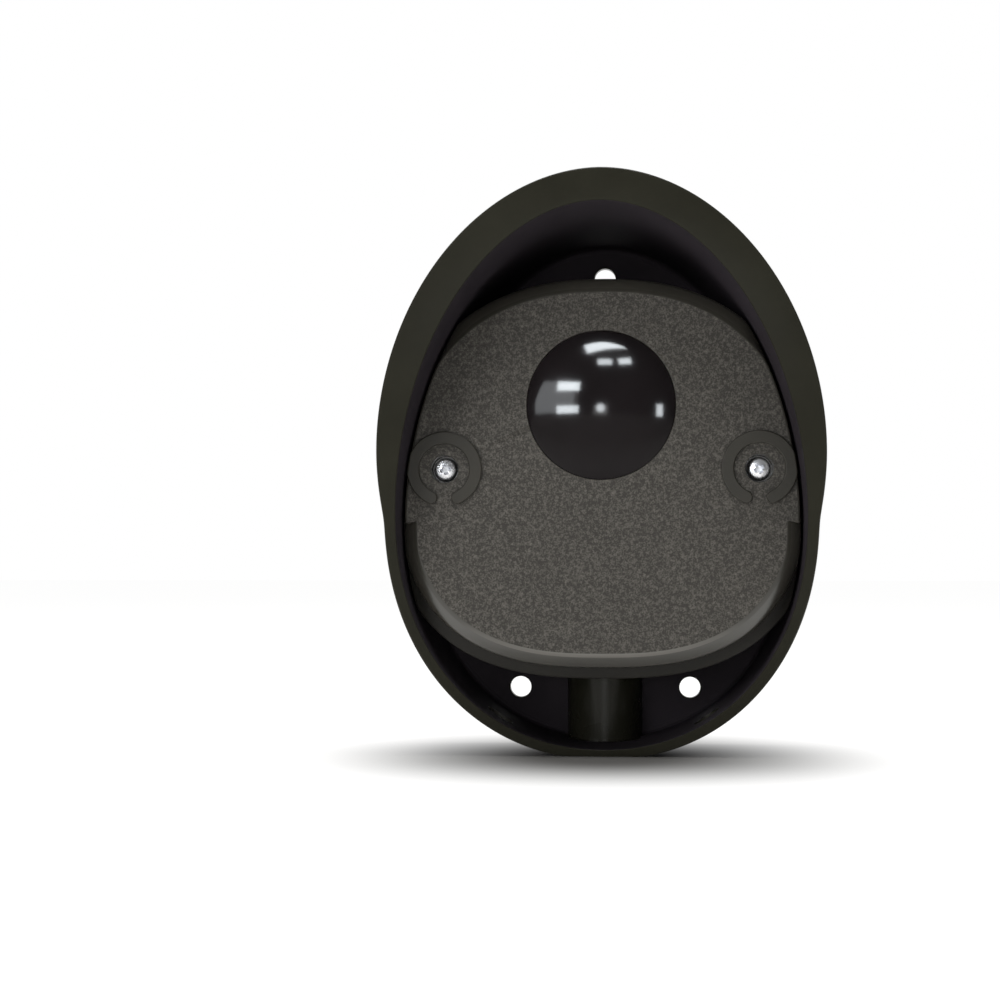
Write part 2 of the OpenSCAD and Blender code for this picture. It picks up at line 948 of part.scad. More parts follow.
module front_cover() {
    color([0.27, 0.26, 0.24])
        difference() {
            union() {
                difference() {
                    union() {
                        along_y(face_y, edge_y)
                            face_outline();
                        for (i = [1 : bevel_steps])
                            along_y(face_y + bevel_l * i / bevel_steps, edge_y)
                                housing_outline(bevel_w * pow(1 - i / bevel_steps, 2));
                        along_y(edge_y - over, edge_y + spigot_l)
                            housing_outline(cavity_inset + loose);
                    }
                    along_y(face_y + cover_t, edge_y + spigot_l + over)
                        housing_outline(cavity_inset + loose + spigot_w);
                }
                raised_rings();
                along_y(face_y + cover_t / 2, face_y + cover_t + cover_boss_l)
                    intersection() {
                        housing_outline(cavity_inset + loose);
                        for (side = sides)
                            translate([side * post_x, screw_z])
                                circle(d = cover_boss_d, $fn = 64);
                    }
                rod_y(seat_d, face_y + cover_t / 2, seat_y, 0, lens_z);
                retainer_places()
                    rod_y(retainer_boss_d, face_y + cover_t / 2, seat_y);
            }
            rod_y(lens_d + 2 * seal_play, face_y - over, seat_y, 0, lens_z);
            rod_y(flange_d + 2 * play, face_y + cover_t, seat_y + over, 0, lens_z);
            rod_y(seat_d + 2 * loose, seat_y, edge_y + spigot_l + over, 0, lens_z);
            retainer_places()
                rod_y(
                    retainer_screw_d + 2 * play, seat_y - retainer_screw_l + retainer_t,
                    seat_y + over
                );
            for (side = sides) {
                rod_y(well_d, face_y - over, face_y + well_l, side * post_x, screw_z);
                rod_y(
                    screw_d + 2 * hole_play, face_y, post_y + over,
                    side * post_x, screw_z
                );
            }
        }
}

module dome_window() {
    flange_y = face_y + cover_t + window_seal_t;
    front_y = face_y - dome_h - over;
    color([0.06, 0.05, 0.06])
        difference() {
            union() {
                intersection() {
                    translate([0, dome_y, lens_z])
                        sphere(dome_r, $fn = 128);
                    rod_y(lens_d, front_y, seat_y, 0, lens_z);
                }
                rod_y(flange_d, flange_y, seat_y, 0, lens_z);
            }
            intersection() {
                translate([0, dome_y, lens_z])
                    sphere(dome_r - dome_t, $fn = 128);
                rod_y(2 * dome_bore_r, front_y, seat_y + over, 0, lens_z);
            }
        }
}

module window_seal() {
    color([0.1, 0.1, 0.1])
        tube_y(
            flange_d - 2 * seal_play, lens_d + 2 * loose, face_y + cover_t,
            face_y + cover_t + window_seal_t, 0, lens_z
        );
}

module window_retainer() {
    color([0.22, 0.22, 0.23])
        difference() {
            union() {
                rod_y(seat_d, seat_y, seat_y + retainer_t, 0, lens_z);
                retainer_places()
                    rod_y(retainer_boss_d, seat_y, seat_y + retainer_t);
            }
            rod_y(2 * dome_bore_r, seat_y - over, seat_y + retainer_t + over, 0, lens_z);
            retainer_places()
                rod_y(
                    retainer_screw_d + 2 * hole_play, seat_y - over,
                    seat_y + retainer_t + over
                );
        }
}

module retainer_screws() {
    head_y = seat_y + retainer_t;
    color([0.75, 0.75, 0.77])
        retainer_places()
            difference() {
                union() {
                    rod_y(retainer_head_d, head_y, head_y + retainer_head_h);
                    rod_y(
                        retainer_screw_d, head_y - retainer_screw_l + loose,
                        head_y + retainer_head_h / 2
                    );
                }
                translate([-retainer_head_d, head_y + retainer_head_h / 2, -slot_w / 2])
                    cube([2 * retainer_head_d, retainer_head_h, slot_w]);
            }
}

module screw_seals() {
    color([0.1, 0.1, 0.1])
        for (side = sides)
            tube_y(
                seal_d, screw_d + 2 * seal_play, face_y + well_l - seal_t, face_y + well_l,
                side * post_x, screw_z
            );
}

module cross_recess(front_y, x, z) {
    translate([x - cross_l / 2, front_y - over, z - cross_w / 2])
        cube([cross_l, cross_t + over, cross_w]);
    translate([x - cross_w / 2, front_y - over, z - cross_l / 2])
        cube([cross_w, cross_t + over, cross_l]);
}

module cover_screw(side) {
    seat = face_y + well_l - seal_t;
    color([0.8, 0.8, 0.83])
        difference() {
            union() {
                crowned_head(head_d, seat - head_h, seat, side * post_x, screw_z);
                rod_y(screw_d, seat - head_h / 2, seat + shank_l, side * post_x, screw_z);
            }
            cross_recess(seat - head_h, side * post_x, screw_z);
        }
}

module cover_screw_left() {
    cover_screw(-1);
}

module cover_screw_right() {
    cover_screw(1);
}

hood();
base_housing();
base_screws();
cable_grommet();
threaded_inserts();
cover_gasket();
circuit_board();
board_screws();
terminal_block();
terminal_screws();
relay();
capacitors();
control_chip();
status_led();
trimmer_body();
trimmer_rotor();
jumper_pins();
mode_jumper();
optic_bracket();
swivel_yoke();
eye_barrel();
focus_lens();
infrared_diode();
eye_board();
front_cover();
dome_window();
window_seal();
window_retainer();
retainer_screws();
screw_seals();
cover_screw_left();
cover_screw_right();
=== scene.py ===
"""Hooded safety photocell for a powered gate.

An oval hood with a slanted mouth holds a sealed housing: a textured cover with a dark dome and
two captive screws, on a rear shell with the circuit board and a swivelling infrared eye. The
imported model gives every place. The pieces that show most are modelled here, and the other
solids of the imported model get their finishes. Lengths are in metres.
"""

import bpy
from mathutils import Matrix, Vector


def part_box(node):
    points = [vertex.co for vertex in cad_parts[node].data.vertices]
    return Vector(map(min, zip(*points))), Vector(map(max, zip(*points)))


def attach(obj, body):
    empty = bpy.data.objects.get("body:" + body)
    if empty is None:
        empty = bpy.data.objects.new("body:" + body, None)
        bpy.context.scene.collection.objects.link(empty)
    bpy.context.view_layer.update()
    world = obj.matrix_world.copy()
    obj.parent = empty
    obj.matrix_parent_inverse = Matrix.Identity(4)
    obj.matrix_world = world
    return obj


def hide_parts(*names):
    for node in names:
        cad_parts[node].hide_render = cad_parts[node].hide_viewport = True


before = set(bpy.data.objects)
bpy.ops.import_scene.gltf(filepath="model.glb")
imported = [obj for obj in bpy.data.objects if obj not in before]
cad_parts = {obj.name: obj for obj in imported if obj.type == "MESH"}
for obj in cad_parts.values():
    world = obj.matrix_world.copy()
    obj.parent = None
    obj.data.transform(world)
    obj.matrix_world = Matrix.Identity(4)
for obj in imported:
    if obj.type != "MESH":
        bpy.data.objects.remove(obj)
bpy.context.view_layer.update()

import math

import bmesh
import bpy
import numpy as np
from bpy.props import FloatProperty, FloatVectorProperty, PointerProperty
from bpy.types import Operator, Panel, PropertyGroup

bl_info = {
    "name": "Hooded Safety Photocell",
    "version": (1, 0, 0),
    "blender": (4, 5, 0),
    "location": "3D View > Sidebar > Photocell",
    "description": "Models a hooded safety photocell round its packed solids",
    "category": "Object",
}

MM = 0.001
SIDES = (-1, 1)
RING_LAYERS = ("round_place", "ring_number")
HOOD_LOW, HOOD_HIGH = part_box("hood")
COVER_LOW, COVER_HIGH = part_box("front_cover")
SHELL_LOW, SHELL_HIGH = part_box("base_housing")
DOME_LOW, DOME_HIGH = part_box("dome_window")
SCREW_LOW, SCREW_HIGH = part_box("cover_screw_right")
BOARD_LOW, BOARD_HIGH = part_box("circuit_board")

# Roundness of the ovals: 2 is an ellipse, and more is squarer
HOOD_LOW_POWER = 2.12
HOOD_TOP_POWER = 1.93
COVER_LOW_POWER = 2.65
COVER_TOP_POWER = 2.3

SCREW_X = (SCREW_LOW.x + SCREW_HIGH.x) / 2
SCREW_Z = (SCREW_LOW.z + SCREW_HIGH.z) / 2
DOME_Z = (DOME_LOW.z + DOME_HIGH.z) / 2

# From the screws down to the step in the cover's edge
STEP_DROP = 12.6 * MM

# Heights of the points that the rings of the hood and of the housing are drawn round
HOOD_MIDDLE = 60 * MM
HOUSING_MIDDLE = (COVER_LOW.z + COVER_HIGH.z) / 2

# The hood's back wall: its inner face, and where the screws and the cable go through it
BACK_Y = HOOD_HIGH.y - 2.6 * MM
BASE_SCREW_X = 20 * MM
BASE_SCREW_Z = (50 * MM, 88 * MM)
CABLE_Z = 36 * MM


def length(name, description, millimetres):
    return FloatProperty(
        name=name, description=description, default=millimetres * MM,
        min=0.0, unit="LENGTH", subtype="DISTANCE", precision=5,
    )


def colour(name, description, default):
    return FloatVectorProperty(
        name=name, description=description, default=default,
        size=3, min=0.0, max=1.0, subtype="COLOR",
    )


class PhotocellSizes(PropertyGroup):
    """Sizes of the pieces that show"""

    hood_width: length("Hood width", "Width of the hood tube at its widest place", 97.6)
    hood_top: length("Hood top", "Height of the hood tube above the foot", 128.2)
    hood_wide: length("Widest place", "Height of the widest place of the hood", 54)
    hood_wall: length("Hood wall", "Wall of the hood tube", 2.6)
    foot_cut: length("Foot cut", "Height cut off the round underside", 0.9)
    lip_side: length("Lip at the sides", "How far the lip stands out at the sides", 1.3)
    lip_depth: length("Lip depth", "Depth of the lip and its cove", 6.5)
    mouth_radius: length("Mouth radius", "Radius of the mouth, seen from the side", 229)
    mouth_drop: length("Mouth drop", "Top of the tube to the foremost point", 7.2)
    fixing_hole: length("Fixing hole", "Diameter of the holes in the back wall", 5.3)
    drain_hole: length("Drain hole", "Diameter of the two drain holes", 7.2)
    channel_width: length("Channel width", "Width of the cable channel", 18.8)
    cover_width: length("Cover width", "Width of the oval of the cover", 94.8)
    bevel_width: length("Bevel width", "Width of the bevel round the face", 3)
    ledge_width: length("Ledge width", "How far the ledge stands out below", 2.7)
    ring_diameter: length("Ring diameter", "Outside of the ribs round the screws", 17.4)
    ring_width: length("Ring width", "Width of the ribs round the screws", 2.9)
    ring_height: length("Ring height", "Height of the ribs round the screws", 0.9)
    ring_gap: length("Ring gap", "Opening at the bottom of the ribs", 3.6)
    dome_diameter: length("Dome diameter", "Diameter of the dome on the face", 34)
    screw_head: length("Screw head", "Diameter of the heads of the cover screws", 5)


class PhotocellColours(PropertyGroup):
    """Colours of the finishes"""

    hood: colour("Hood", "Smooth plastic of the hood", (0.0195, 0.019, 0.0134))
    # Painted shade: the inside colour is a purple-black copy of the hood plastic that stands in
    # for the shade in the hollow, set lighter than the outside so that the deep inside shows an
    # even dark tone
    inside_painted_shade: colour("Hood inside", "Matt inside of the hood", (0.033, 0.0283, 0.034))
    cover: colour("Cover", "Textured plastic of the cover", (0.052, 0.0484, 0.0424))
    cover_rim: colour("Cover rim", "Smooth plastic of the bevel and ribs", (0.033, 0.031, 0.0255))
    # Painted highlight: this pale colour along the low edge of the cover stands in for a glint of
    # light
    painted_glint: colour("Painted glint edge", "Pale low edge of the cover", (0.135, 0.128, 0.115))
    shell: colour("Shell", "Plastic of the rear shell", (0.0155, 0.0145, 0.0125))
    window: colour("Window", "Dark plastic of the dome", (0.0088, 0.0072, 0.0078))
    steel: colour("Steel", "Zinc on the screws", (0.78, 0.79, 0.82))
    brass: colour("Brass", "Inserts and pins", (0.72, 0.5, 0.2))
    rubber: colour("Rubber", "Seals and the cable inlet", (0.018, 0.018, 0.019))
    board: colour("Board", "Lacquer of the circuit board", (0.012, 0.11, 0.04))
    stage: colour("Stage", "Floor under the object", (0.75, 0.735, 0.7))


def sizes():
    return bpy.context.scene.photocell_sizes


def colours():
    return bpy.context.scene.photocell_colours


# Modelling steps

def clear_selection():
    """Leaves edit mode and deselects every object"""
    if bpy.context.object and bpy.context.object.mode != "OBJECT":
        bpy.ops.object.mode_set(mode="OBJECT")
    bpy.ops.object.select_all(action="DESELECT")


def apply_place():
    bpy.ops.object.transform_apply()


def pick(piece):
    clear_selection()
    piece.select_set(True)
    bpy.context.view_layer.objects.active = piece


def place_ring(piece, ring, number):
    """Moves the selected points of the mesh onto a ring, each by its place round the circle"""
    mesh = bmesh.from_edit_mesh(piece.data)
    round_place, ring_number = [mesh.verts.layers.int[layer] for layer in RING_LAYERS]
    for point in mesh.verts:
        if point.select:
            point.co = ring[point[round_place]]
            point[ring_number] = number
    bmesh.update_edit_mesh(piece.data)


def close_ring(piece, number):
    """Fills one ring of the mesh with a flat face"""
    bpy.ops.mesh.select_all(action="DESELECT")
    mesh = bmesh.from_edit_mesh(piece.data)
    ring_number = mesh.verts.layers.int[RING_LAYERS[1]]
    for point in mesh.verts:
        point.select = point[ring_number] == number
    mesh.select_flush(True)
    bmesh.update_edit_mesh(piece.data)
    bpy.ops.mesh.edge_face_add()


def draw_rings(name, rings, close_first=True, close_last=True):
    """A skin through rings of points: a circle, extruded from each ring to the next"""
    clear_selection()
    count = len(rings[0])
    bpy.ops.mesh.primitive_circle_add(vertices=count, fill_type="NOTHING")
    piece = bpy.context.object
    piece.name = piece.data.name = name
    for layer in RING_LAYERS:
        piece.data.attributes.new(layer, "INT", "POINT")
    piece.data.attributes[RING_LAYERS[0]].data.foreach_set("value", range(count))
    bpy.ops.object.mode_set(mode="EDIT")
    bpy.ops.mesh.select_mode(type="VERT")
    bpy.ops.mesh.select_all(action="SELECT")
    place_ring(piece, rings[0], 0)
    for number, ring in enumerate(rings[1:], 1):
        bpy.ops.mesh.extrude_edges_move()
        place_ring(piece, ring, number)
    if close_last:
        close_ring(piece, len(rings) - 1)
    if close_first:
        close_ring(piece, 0)
    bpy.ops.mesh.select_all(action="SELECT")
    bpy.ops.mesh.remove_doubles(threshold=1e-7)
    bpy.ops.mesh.normals_make_consistent(inside=False)
    bpy.ops.object.mode_set(mode="OBJECT")
    for layer in RING_LAYERS:
        piece.data.attributes.remove(piece.data.attributes[layer])
    return piece


def even_turns(count):
    return np.linspace(0, math.tau, count, endpoint=False)


def oval_ring(turns, radii, centre, y):
    """Points round (0, centre) at each turn from straight up"""
    return [
        (radius * math.sin(turn), y, centre + radius * math.cos(turn))
        for turn, radius in zip(turns, radii)
    ]


def turned(name, profile, x=0.0, z=0.0, segments=96):
    """A round piece about an axis along Y, from a profile of (radius, y)"""
    turns = even_turns(segments)
    rings = [
        [(x + radius * math.sin(t), y, z + radius * math.cos(t)) for t in turns]
        for radius, y in profile
    ]
    return draw_rings(name, rings, profile[0][0] > 0, profile[-1][0] > 0)


def rod(name, radius, front, back, x=0.0, z=0.0, segments=96):
    """A round rod along Y"""
    return turned(name, [(radius, front), (radius, back)], x, z, segments)


def block(name, low, high):
    """A box from one corner to the other"""
    clear_selection()
    middle = [(a + b) / 2 for a, b in zip(low, high)]
    bpy.ops.mesh.primitive_cube_add(size=1, location=middle)
    piece = bpy.context.object
    piece.name = name
    bpy.ops.transform.resize(value=[b - a for a, b in zip(low, high)])
    apply_place()
    return piece


def upright(name, radius, low, high, y, segments=96):
    """A rod along Z"""
    clear_selection()
    bpy.ops.mesh.primitive_cylinder_add(
        vertices=segments, radius=radius, depth=high - low, location=(0, y, (low + high) / 2)
    )
    piece = bpy.context.object
    piece.name = name
    apply_place()
    return piece


def combine(piece, other, operation):
    """Cuts the other piece off this one, adds it or keeps what they share, and removes it"""
    pick(piece)
    modifier = piece.modifiers.new("combine", "BOOLEAN")
    modifier.operation = operation
    modifier.solver = "EXACT"
    modifier.object = other
    bpy.ops.object.modifier_apply(modifier=modifier.name)
    bpy.data.objects.remove(other)


def cut(piece, other):
    combine(piece, other, "DIFFERENCE")


def add(piece, other):
    combine(piece, other, "UNION")


def smooth(piece, angle):
    pick(piece)
    bpy.ops.object.shade_smooth_by_angle(angle=math.radians(angle), keep_sharp_edges=True)


def pick_faces(piece, wanted):
    """Selects the faces that pass a test, in edit mode"""
    bpy.ops.mesh.select_mode(type="FACE")
    bpy.ops.mesh.select_all(action="DESELECT")
    mesh = bmesh.from_edit_mesh(piece.data)
    for face in mesh.faces:
        face.select = wanted(face)
    bmesh.update_edit_mesh(piece.data)


def crisp_flats(piece):
    """Marks the borders of the wide flat faces as sharp, so that these shade flat"""
    wide = 20 * MM ** 2
    pick(piece)
    bpy.ops.object.mode_set(mode="EDIT")
    pick_faces(piece, lambda face: abs(face.normal.y) > 0.9999 and face.calc_area() > wide)
    bpy.ops.mesh.region_to_loop()
    bpy.ops.mesh.mark_sharp()
    bpy.ops.object.mode_set(mode="OBJECT")


def finish_with(piece, *materials):
    piece.data.materials.clear()
    for material in materials:
        piece.data.materials.append(material)


# Outlines

def oval_radii(turns, centre, half, low, wide, top, low_power, top_power):
    """Distance from (0, centre) out to an oval at each turn from straight up"""
    near = np.zeros(len(turns))
    far = np.full(len(turns), 0.2)
    for _ in range(48):
        middle = (near + far) / 2
        rise = centre + middle * np.cos(turns) - wide
        reach = np.where(rise >= 0, top - wide, wide - low)
        power = np.where(rise >= 0, top_power, low_power)
        out = np.abs(middle * np.sin(turns) / half) ** power + np.abs(rise / reach) ** power
        near = np.where(out < 1, middle, near)
        far = np.where(out < 1, far, middle)
    return near


def soft_least(a, b, blend):
    return (a + b - np.sqrt((a - b) ** 2 + blend ** 2)) / 2


def hood_radii(turns, inset=0.0, centre=HOOD_MIDDLE):
    s = sizes()
    return oval_radii(
        turns, centre, s.hood_width / 2 - inset, inset - s.foot_cut, s.hood_wide,
        s.hood_top - inset, HOOD_LOW_POWER, HOOD_TOP_POWER,
    )


def lip_radii(turns, share):
    """The lip stands out of the tube, most at the top and not at all at the foot"""
    s = sizes()
    above_tube = 15.3 * MM
    wide = s.hood_wide + above_tube
    top = s.hood_top + (HOOD_HIGH.z - s.hood_top) * share
    lip = oval_radii(
        turns, HOOD_MIDDLE, s.hood_width / 2 + s.lip_side * share, 2 * wide - top, wide, top,
        HOOD_TOP_POWER, HOOD_TOP_POWER,
    )
    return -soft_least(-hood_radii(turns), -lip, 0.4 * MM * share)


def mouth_depth(z):
    """Depth of the slanted mouth at a height"""
    s = sizes()
    rise = z - (s.hood_top - s.mouth_drop)
    return HOOD_LOW.y + s.mouth_radius - math.sqrt(s.mouth_radius ** 2 - rise ** 2)


def housing_radii(turns, inset=0.0, outset=0.0):
    """Outline of the housing: an oval that the hood trims at its upper sides"""
    s = sizes()
    oval = oval_radii(
        turns, HOUSING_MIDDLE, s.cover_width / 2 - inset + outset, COVER_LOW.z + inset - outset,
        HOUSING_MIDDLE, COVER_HIGH.z - inset, COVER_LOW_POWER, COVER_TOP_POWER,
    )
    trim = hood_radii(turns, s.hood_wall + 0.5 * MM + inset, HOUSING_MIDDLE)
    return soft_least(oval, trim, 0.3 * MM)


def housing_ring(turns, radii, y):
    return oval_ring(turns, radii, HOUSING_MIDDLE, y)


def inset_rings(turns, *places):
    """Rings inside the outline of the housing: how far in, in millimetres, and the depth"""
    return [housing_ring(turns, housing_radii(turns, inset * MM), y) for inset, y in places]


# Node groups

def new_group(name, inputs, outputs):
    """An empty shader group that takes a vector and numbers, and its two end nodes"""
    group = bpy.data.node_groups.new(name, "ShaderNodeTree")
    sockets = [("Vector", "INPUT", "NodeSocketVector")]
    sockets += [(label, "INPUT", "NodeSocketFloat") for label in inputs]
    sockets += [(label, "OUTPUT", "NodeSocketFloat") for label in outputs]
    for label, way, kind in sockets:
        socket = group.interface.new_socket(name=label, in_out=way, socket_type=kind)
        if label in inputs:
            socket.default_value = inputs[label]
    start = group.nodes.new("NodeGroupInput")
    end = group.nodes.new("NodeGroupOutput")
    return group, start.outputs, end.inputs


def feed(tree, socket, value):
    """Gives a socket its value, or links it to another node"""
    if isinstance(value, (int, float, tuple)):
        socket.default_value = value
    else:
        tree.links.new(value, socket)


def new_node(tree, kind, **values):
    """A node with its inputs fed, each by its label with _ for a space"""
    node = tree.nodes.new("ShaderNode" + kind)
    for label, value in values.items():
        feed(tree, node.inputs[label.replace("_", " ")], value)
    return node


def noise(tree, scale, detail, vector, roughness=0.5):
    return new_node(
        tree, "TexNoise", Vector=vector, Scale=scale, Detail=detail, Roughness=roughness
    ).outputs["Fac"]


def arithmetic(tree, operation, *values):
    node = tree.nodes.new("ShaderNodeMath")
    node.operation = operation
    for socket, value in zip(node.inputs, values):
        feed(tree, socket, value)
    return node.outputs[0]


def spread(tree, value, low, high, to_low=0.0, to_high=1.0):
    """Maps a range of values onto another, held at its ends"""
    return new_node(
        tree, "MapRange", Value=value, From_Min=low, From_Max=high, To_Min=to_low, To_Max=to_high
    ).outputs["Result"]


def along(tree, vector, axis):
    """How far a vector reaches along one axis"""
    return new_node(tree, "SeparateXYZ", Vector=vector).outputs[axis]


def moulded_skin_group():
    """Fine skin of moulded plastic: a height, and a slow mottle from 0 to 1"""
    group, given, out = new_group(
        "Moulded Skin", {"Fineness": 3000.0, "Mottle Scale": 60.0}, ("Height", "Mottle")
    )
    fine = noise(group, given["Fineness"], 2.0, given["Vector"])
    slow = noise(group, given["Mottle Scale"], 4.0, given["Vector"])
    feed(group, out["Height"], fine)
    feed(group, out["Mottle"], spread(group, slow, 0.3, 0.7))


def spark_grain_group():
    """Coarse grain of a spark-eroded mould: a height, and light specks from 0 to 1"""
    group, given, out = new_group("Spark Grain", {"Fineness": 1500.0}, ("Height", "Speck"))
    vector, fineness = given["Vector"], given["Fineness"]
    broad = noise(group, fineness, 2.0, vector, 0.6)
    sharp = noise(group, arithmetic(group, "MULTIPLY", fineness, 2.3), 1.0, vector)
    cells = new_node(group, "TexVoronoi", Vector=vector, Scale=fineness)
    pits = spread(group, cells.outputs["Distance"], 0.0, 0.7)
    half_broad = arithmetic(group, "MULTIPLY", broad, 0.5)
    speck = arithmetic(group, "MULTIPLY_ADD", sharp, 0.5, half_broad)
    feed(group, out["Height"], arithmetic(group, "MULTIPLY_ADD", pits, 0.35, broad))
    feed(group, out["Speck"], spread(group, speck, 0.44, 0.7))


def scuff_group():
    """Fine wear of handled metal: short scratches and dull patches from 0 to 1"""
    group, given, out = new_group("Metal Scuffs", {"Fineness": 900.0}, ("Scratch", "Dull"))
    vector, fineness = given["Vector"], given["Fineness"]
    stretch = new_node(
        group, "Mapping", Vector=vector, Scale=(1.0, 1.0, 7.0), Rotation=(0.3, 0.5, 0.2)
    )
    lines = noise(group, fineness, 3.0, stretch.outputs["Vector"], 0.7)
    patches = noise(group, arithmetic(group, "MULTIPLY", fineness, 0.4), 3.0, vector)
    feed(group, out["Scratch"], spread(group, lines, 0.45, 0.75))
    feed(group, out["Dull"], spread(group, patches, 0.35, 0.7))


def groups():
    """The shared shader groups, made once"""
    made = bpy.data.node_groups
    if "Moulded Skin" not in made:
        moulded_skin_group()
        spark_grain_group()
        scuff_group()
    return made


# Finishes

def new_material(name, tone, roughness, gloss=0.5, metallic=0.0):
    """A material with its Principled shader, the tree and the object's own coordinates"""
    material = bpy.data.materials.new(name)
    material.use_nodes = True
    tree = material.node_tree
    shader = tree.nodes["Principled BSDF"]
    for label, value in (
        ("Base Color", (*tone, 1.0)), ("Roughness", roughness),
        ("Specular IOR Level", gloss), ("Metallic", metallic),
    ):
        shader.inputs[label].default_value = value
    place = tree.nodes.new("ShaderNodeTexCoord").outputs["Object"]
    return material, tree, shader, place


def use_group(tree, name, place, fineness):
    node = tree.nodes.new("ShaderNodeGroup")
    node.node_tree = groups()[name]
    tree.links.new(place, node.inputs["Vector"])
    node.inputs["Fineness"].default_value = fineness
    return node


def bump(tree, shader, height, distance):
    node = new_node(tree, "Bump", Height=height, Distance=distance)
    tree.links.new(node.outputs["Normal"], shader.inputs["Normal"])


def tint(tree, shader, mask, dark, light):
    """Base colour between two shades by a mask"""
    node = tree.nodes.new("ShaderNodeMix")
    node.data_type = "RGBA"
    for label, value in (("A", (*dark, 1.0)), ("B", (*light, 1.0)), ("Factor", mask)):
        feed(tree, node.inputs[label], value)
    tree.links.new(node.outputs["Result"], shader.inputs["Base Color"])


def shade(tone, factor):
    return [min(1.0, channel * factor) for channel in tone]


def vary_roughness(tree, shader, mask, low, high):
    tree.links.new(spread(tree, mask, 0.0, 1.0, low, high), shader.inputs["Roughness"])


def made_once(make):
    """A finish whose name is already made is used again"""
    def finish(name, *values, **choices):
        return bpy.data.materials.get(name) or make(name, *values, **choices)
    return finish


@made_once
def moulded_plastic(name, tone, roughness, gloss=0.5, skin=0.012 * MM, fineness=2600.0):
    """Smooth moulded plastic with a faint skin and a slow change of gloss"""
    material, tree, shader, place = new_material(name, tone, roughness, gloss)
    group = use_group(tree, "Moulded Skin", place, fineness)
    mottle = group.outputs["Mottle"]
    tint(tree, shader, mottle, shade(tone, 0.88), shade(tone, 1.12))
    vary_roughness(tree, shader, mottle, roughness - 0.03, roughness + 0.04)
    bump(tree, shader, group.outputs["Height"], skin)
    return material


@made_once
def grained_plastic(name, tone):
    """Spark-grained plastic with light specks"""
    material, tree, shader, place = new_material(name, tone, 0.6, 0.22)
    group = use_group(tree, "Spark Grain", place, 1200.0)
    speck = group.outputs["Speck"]
    tint(tree, shader, speck, shade(tone, 0.64), shade(tone, 2.2))
    vary_roughness(tree, shader, speck, 0.55, 0.38)
    bump(tree, shader, group.outputs["Height"], 0.05 * MM)
    return material


@made_once
def painted_glint_edge(name, tone, light):
    """Smooth plastic with a painted highlight, pale along the low edge of the cover and fading out
    above it
    """
    material, tree, shader, place = new_material(name, tone, 0.3)
    # Painted highlight mask: full below 23 mm, fading to nothing at 33 mm
    painted_glint = spread(tree, along(tree, place, "Z"), 0.023, 0.033, 1.0, 0.0)
    tint(tree, shader, painted_glint, tone, light)
    return material


@made_once
def scuffed_metal(name, tone, roughness):
    """Plated metal with fine scratches and duller patches"""
    material, tree, shader, place = new_material(name, tone, roughness, 0.5, 1.0)
    group = use_group(tree, "Metal Scuffs", place, 900.0)
    dull = group.outputs["Dull"]
    tint(tree, shader, dull, tone, shade(tone, 0.8))
    vary_roughness(tree, shader, dull, roughness, roughness + 0.16)
    bump(tree, shader, group.outputs["Scratch"], 0.01 * MM)
    return material


@made_once
def dark_window(name, tone):
    """Polished dark plastic that passes only infrared"""
    material, tree, shader, place = new_material(name, tone, 0.1, 0.08)
    mottle = use_group(tree, "Moulded Skin", place, 500.0).outputs["Mottle"]
    tint(tree, shader, mottle, tone, shade(tone, 1.4))
    vary_roughness(tree, shader, mottle, 0.09, 0.12)
    return material


def clear_plastic(name):
    material, tree, shader, place = new_material(name, (0.93, 0.95, 0.96), 0.03)
    mottle = use_group(tree, "Moulded Skin", place, 500.0).outputs["Mottle"]
    vary_roughness(tree, shader, mottle, 0.02, 0.05)
    shader.inputs["Transmission Weight"].default_value = 1.0
    shader.inputs["IOR"].default_value = 1.49
    return material


# Pieces

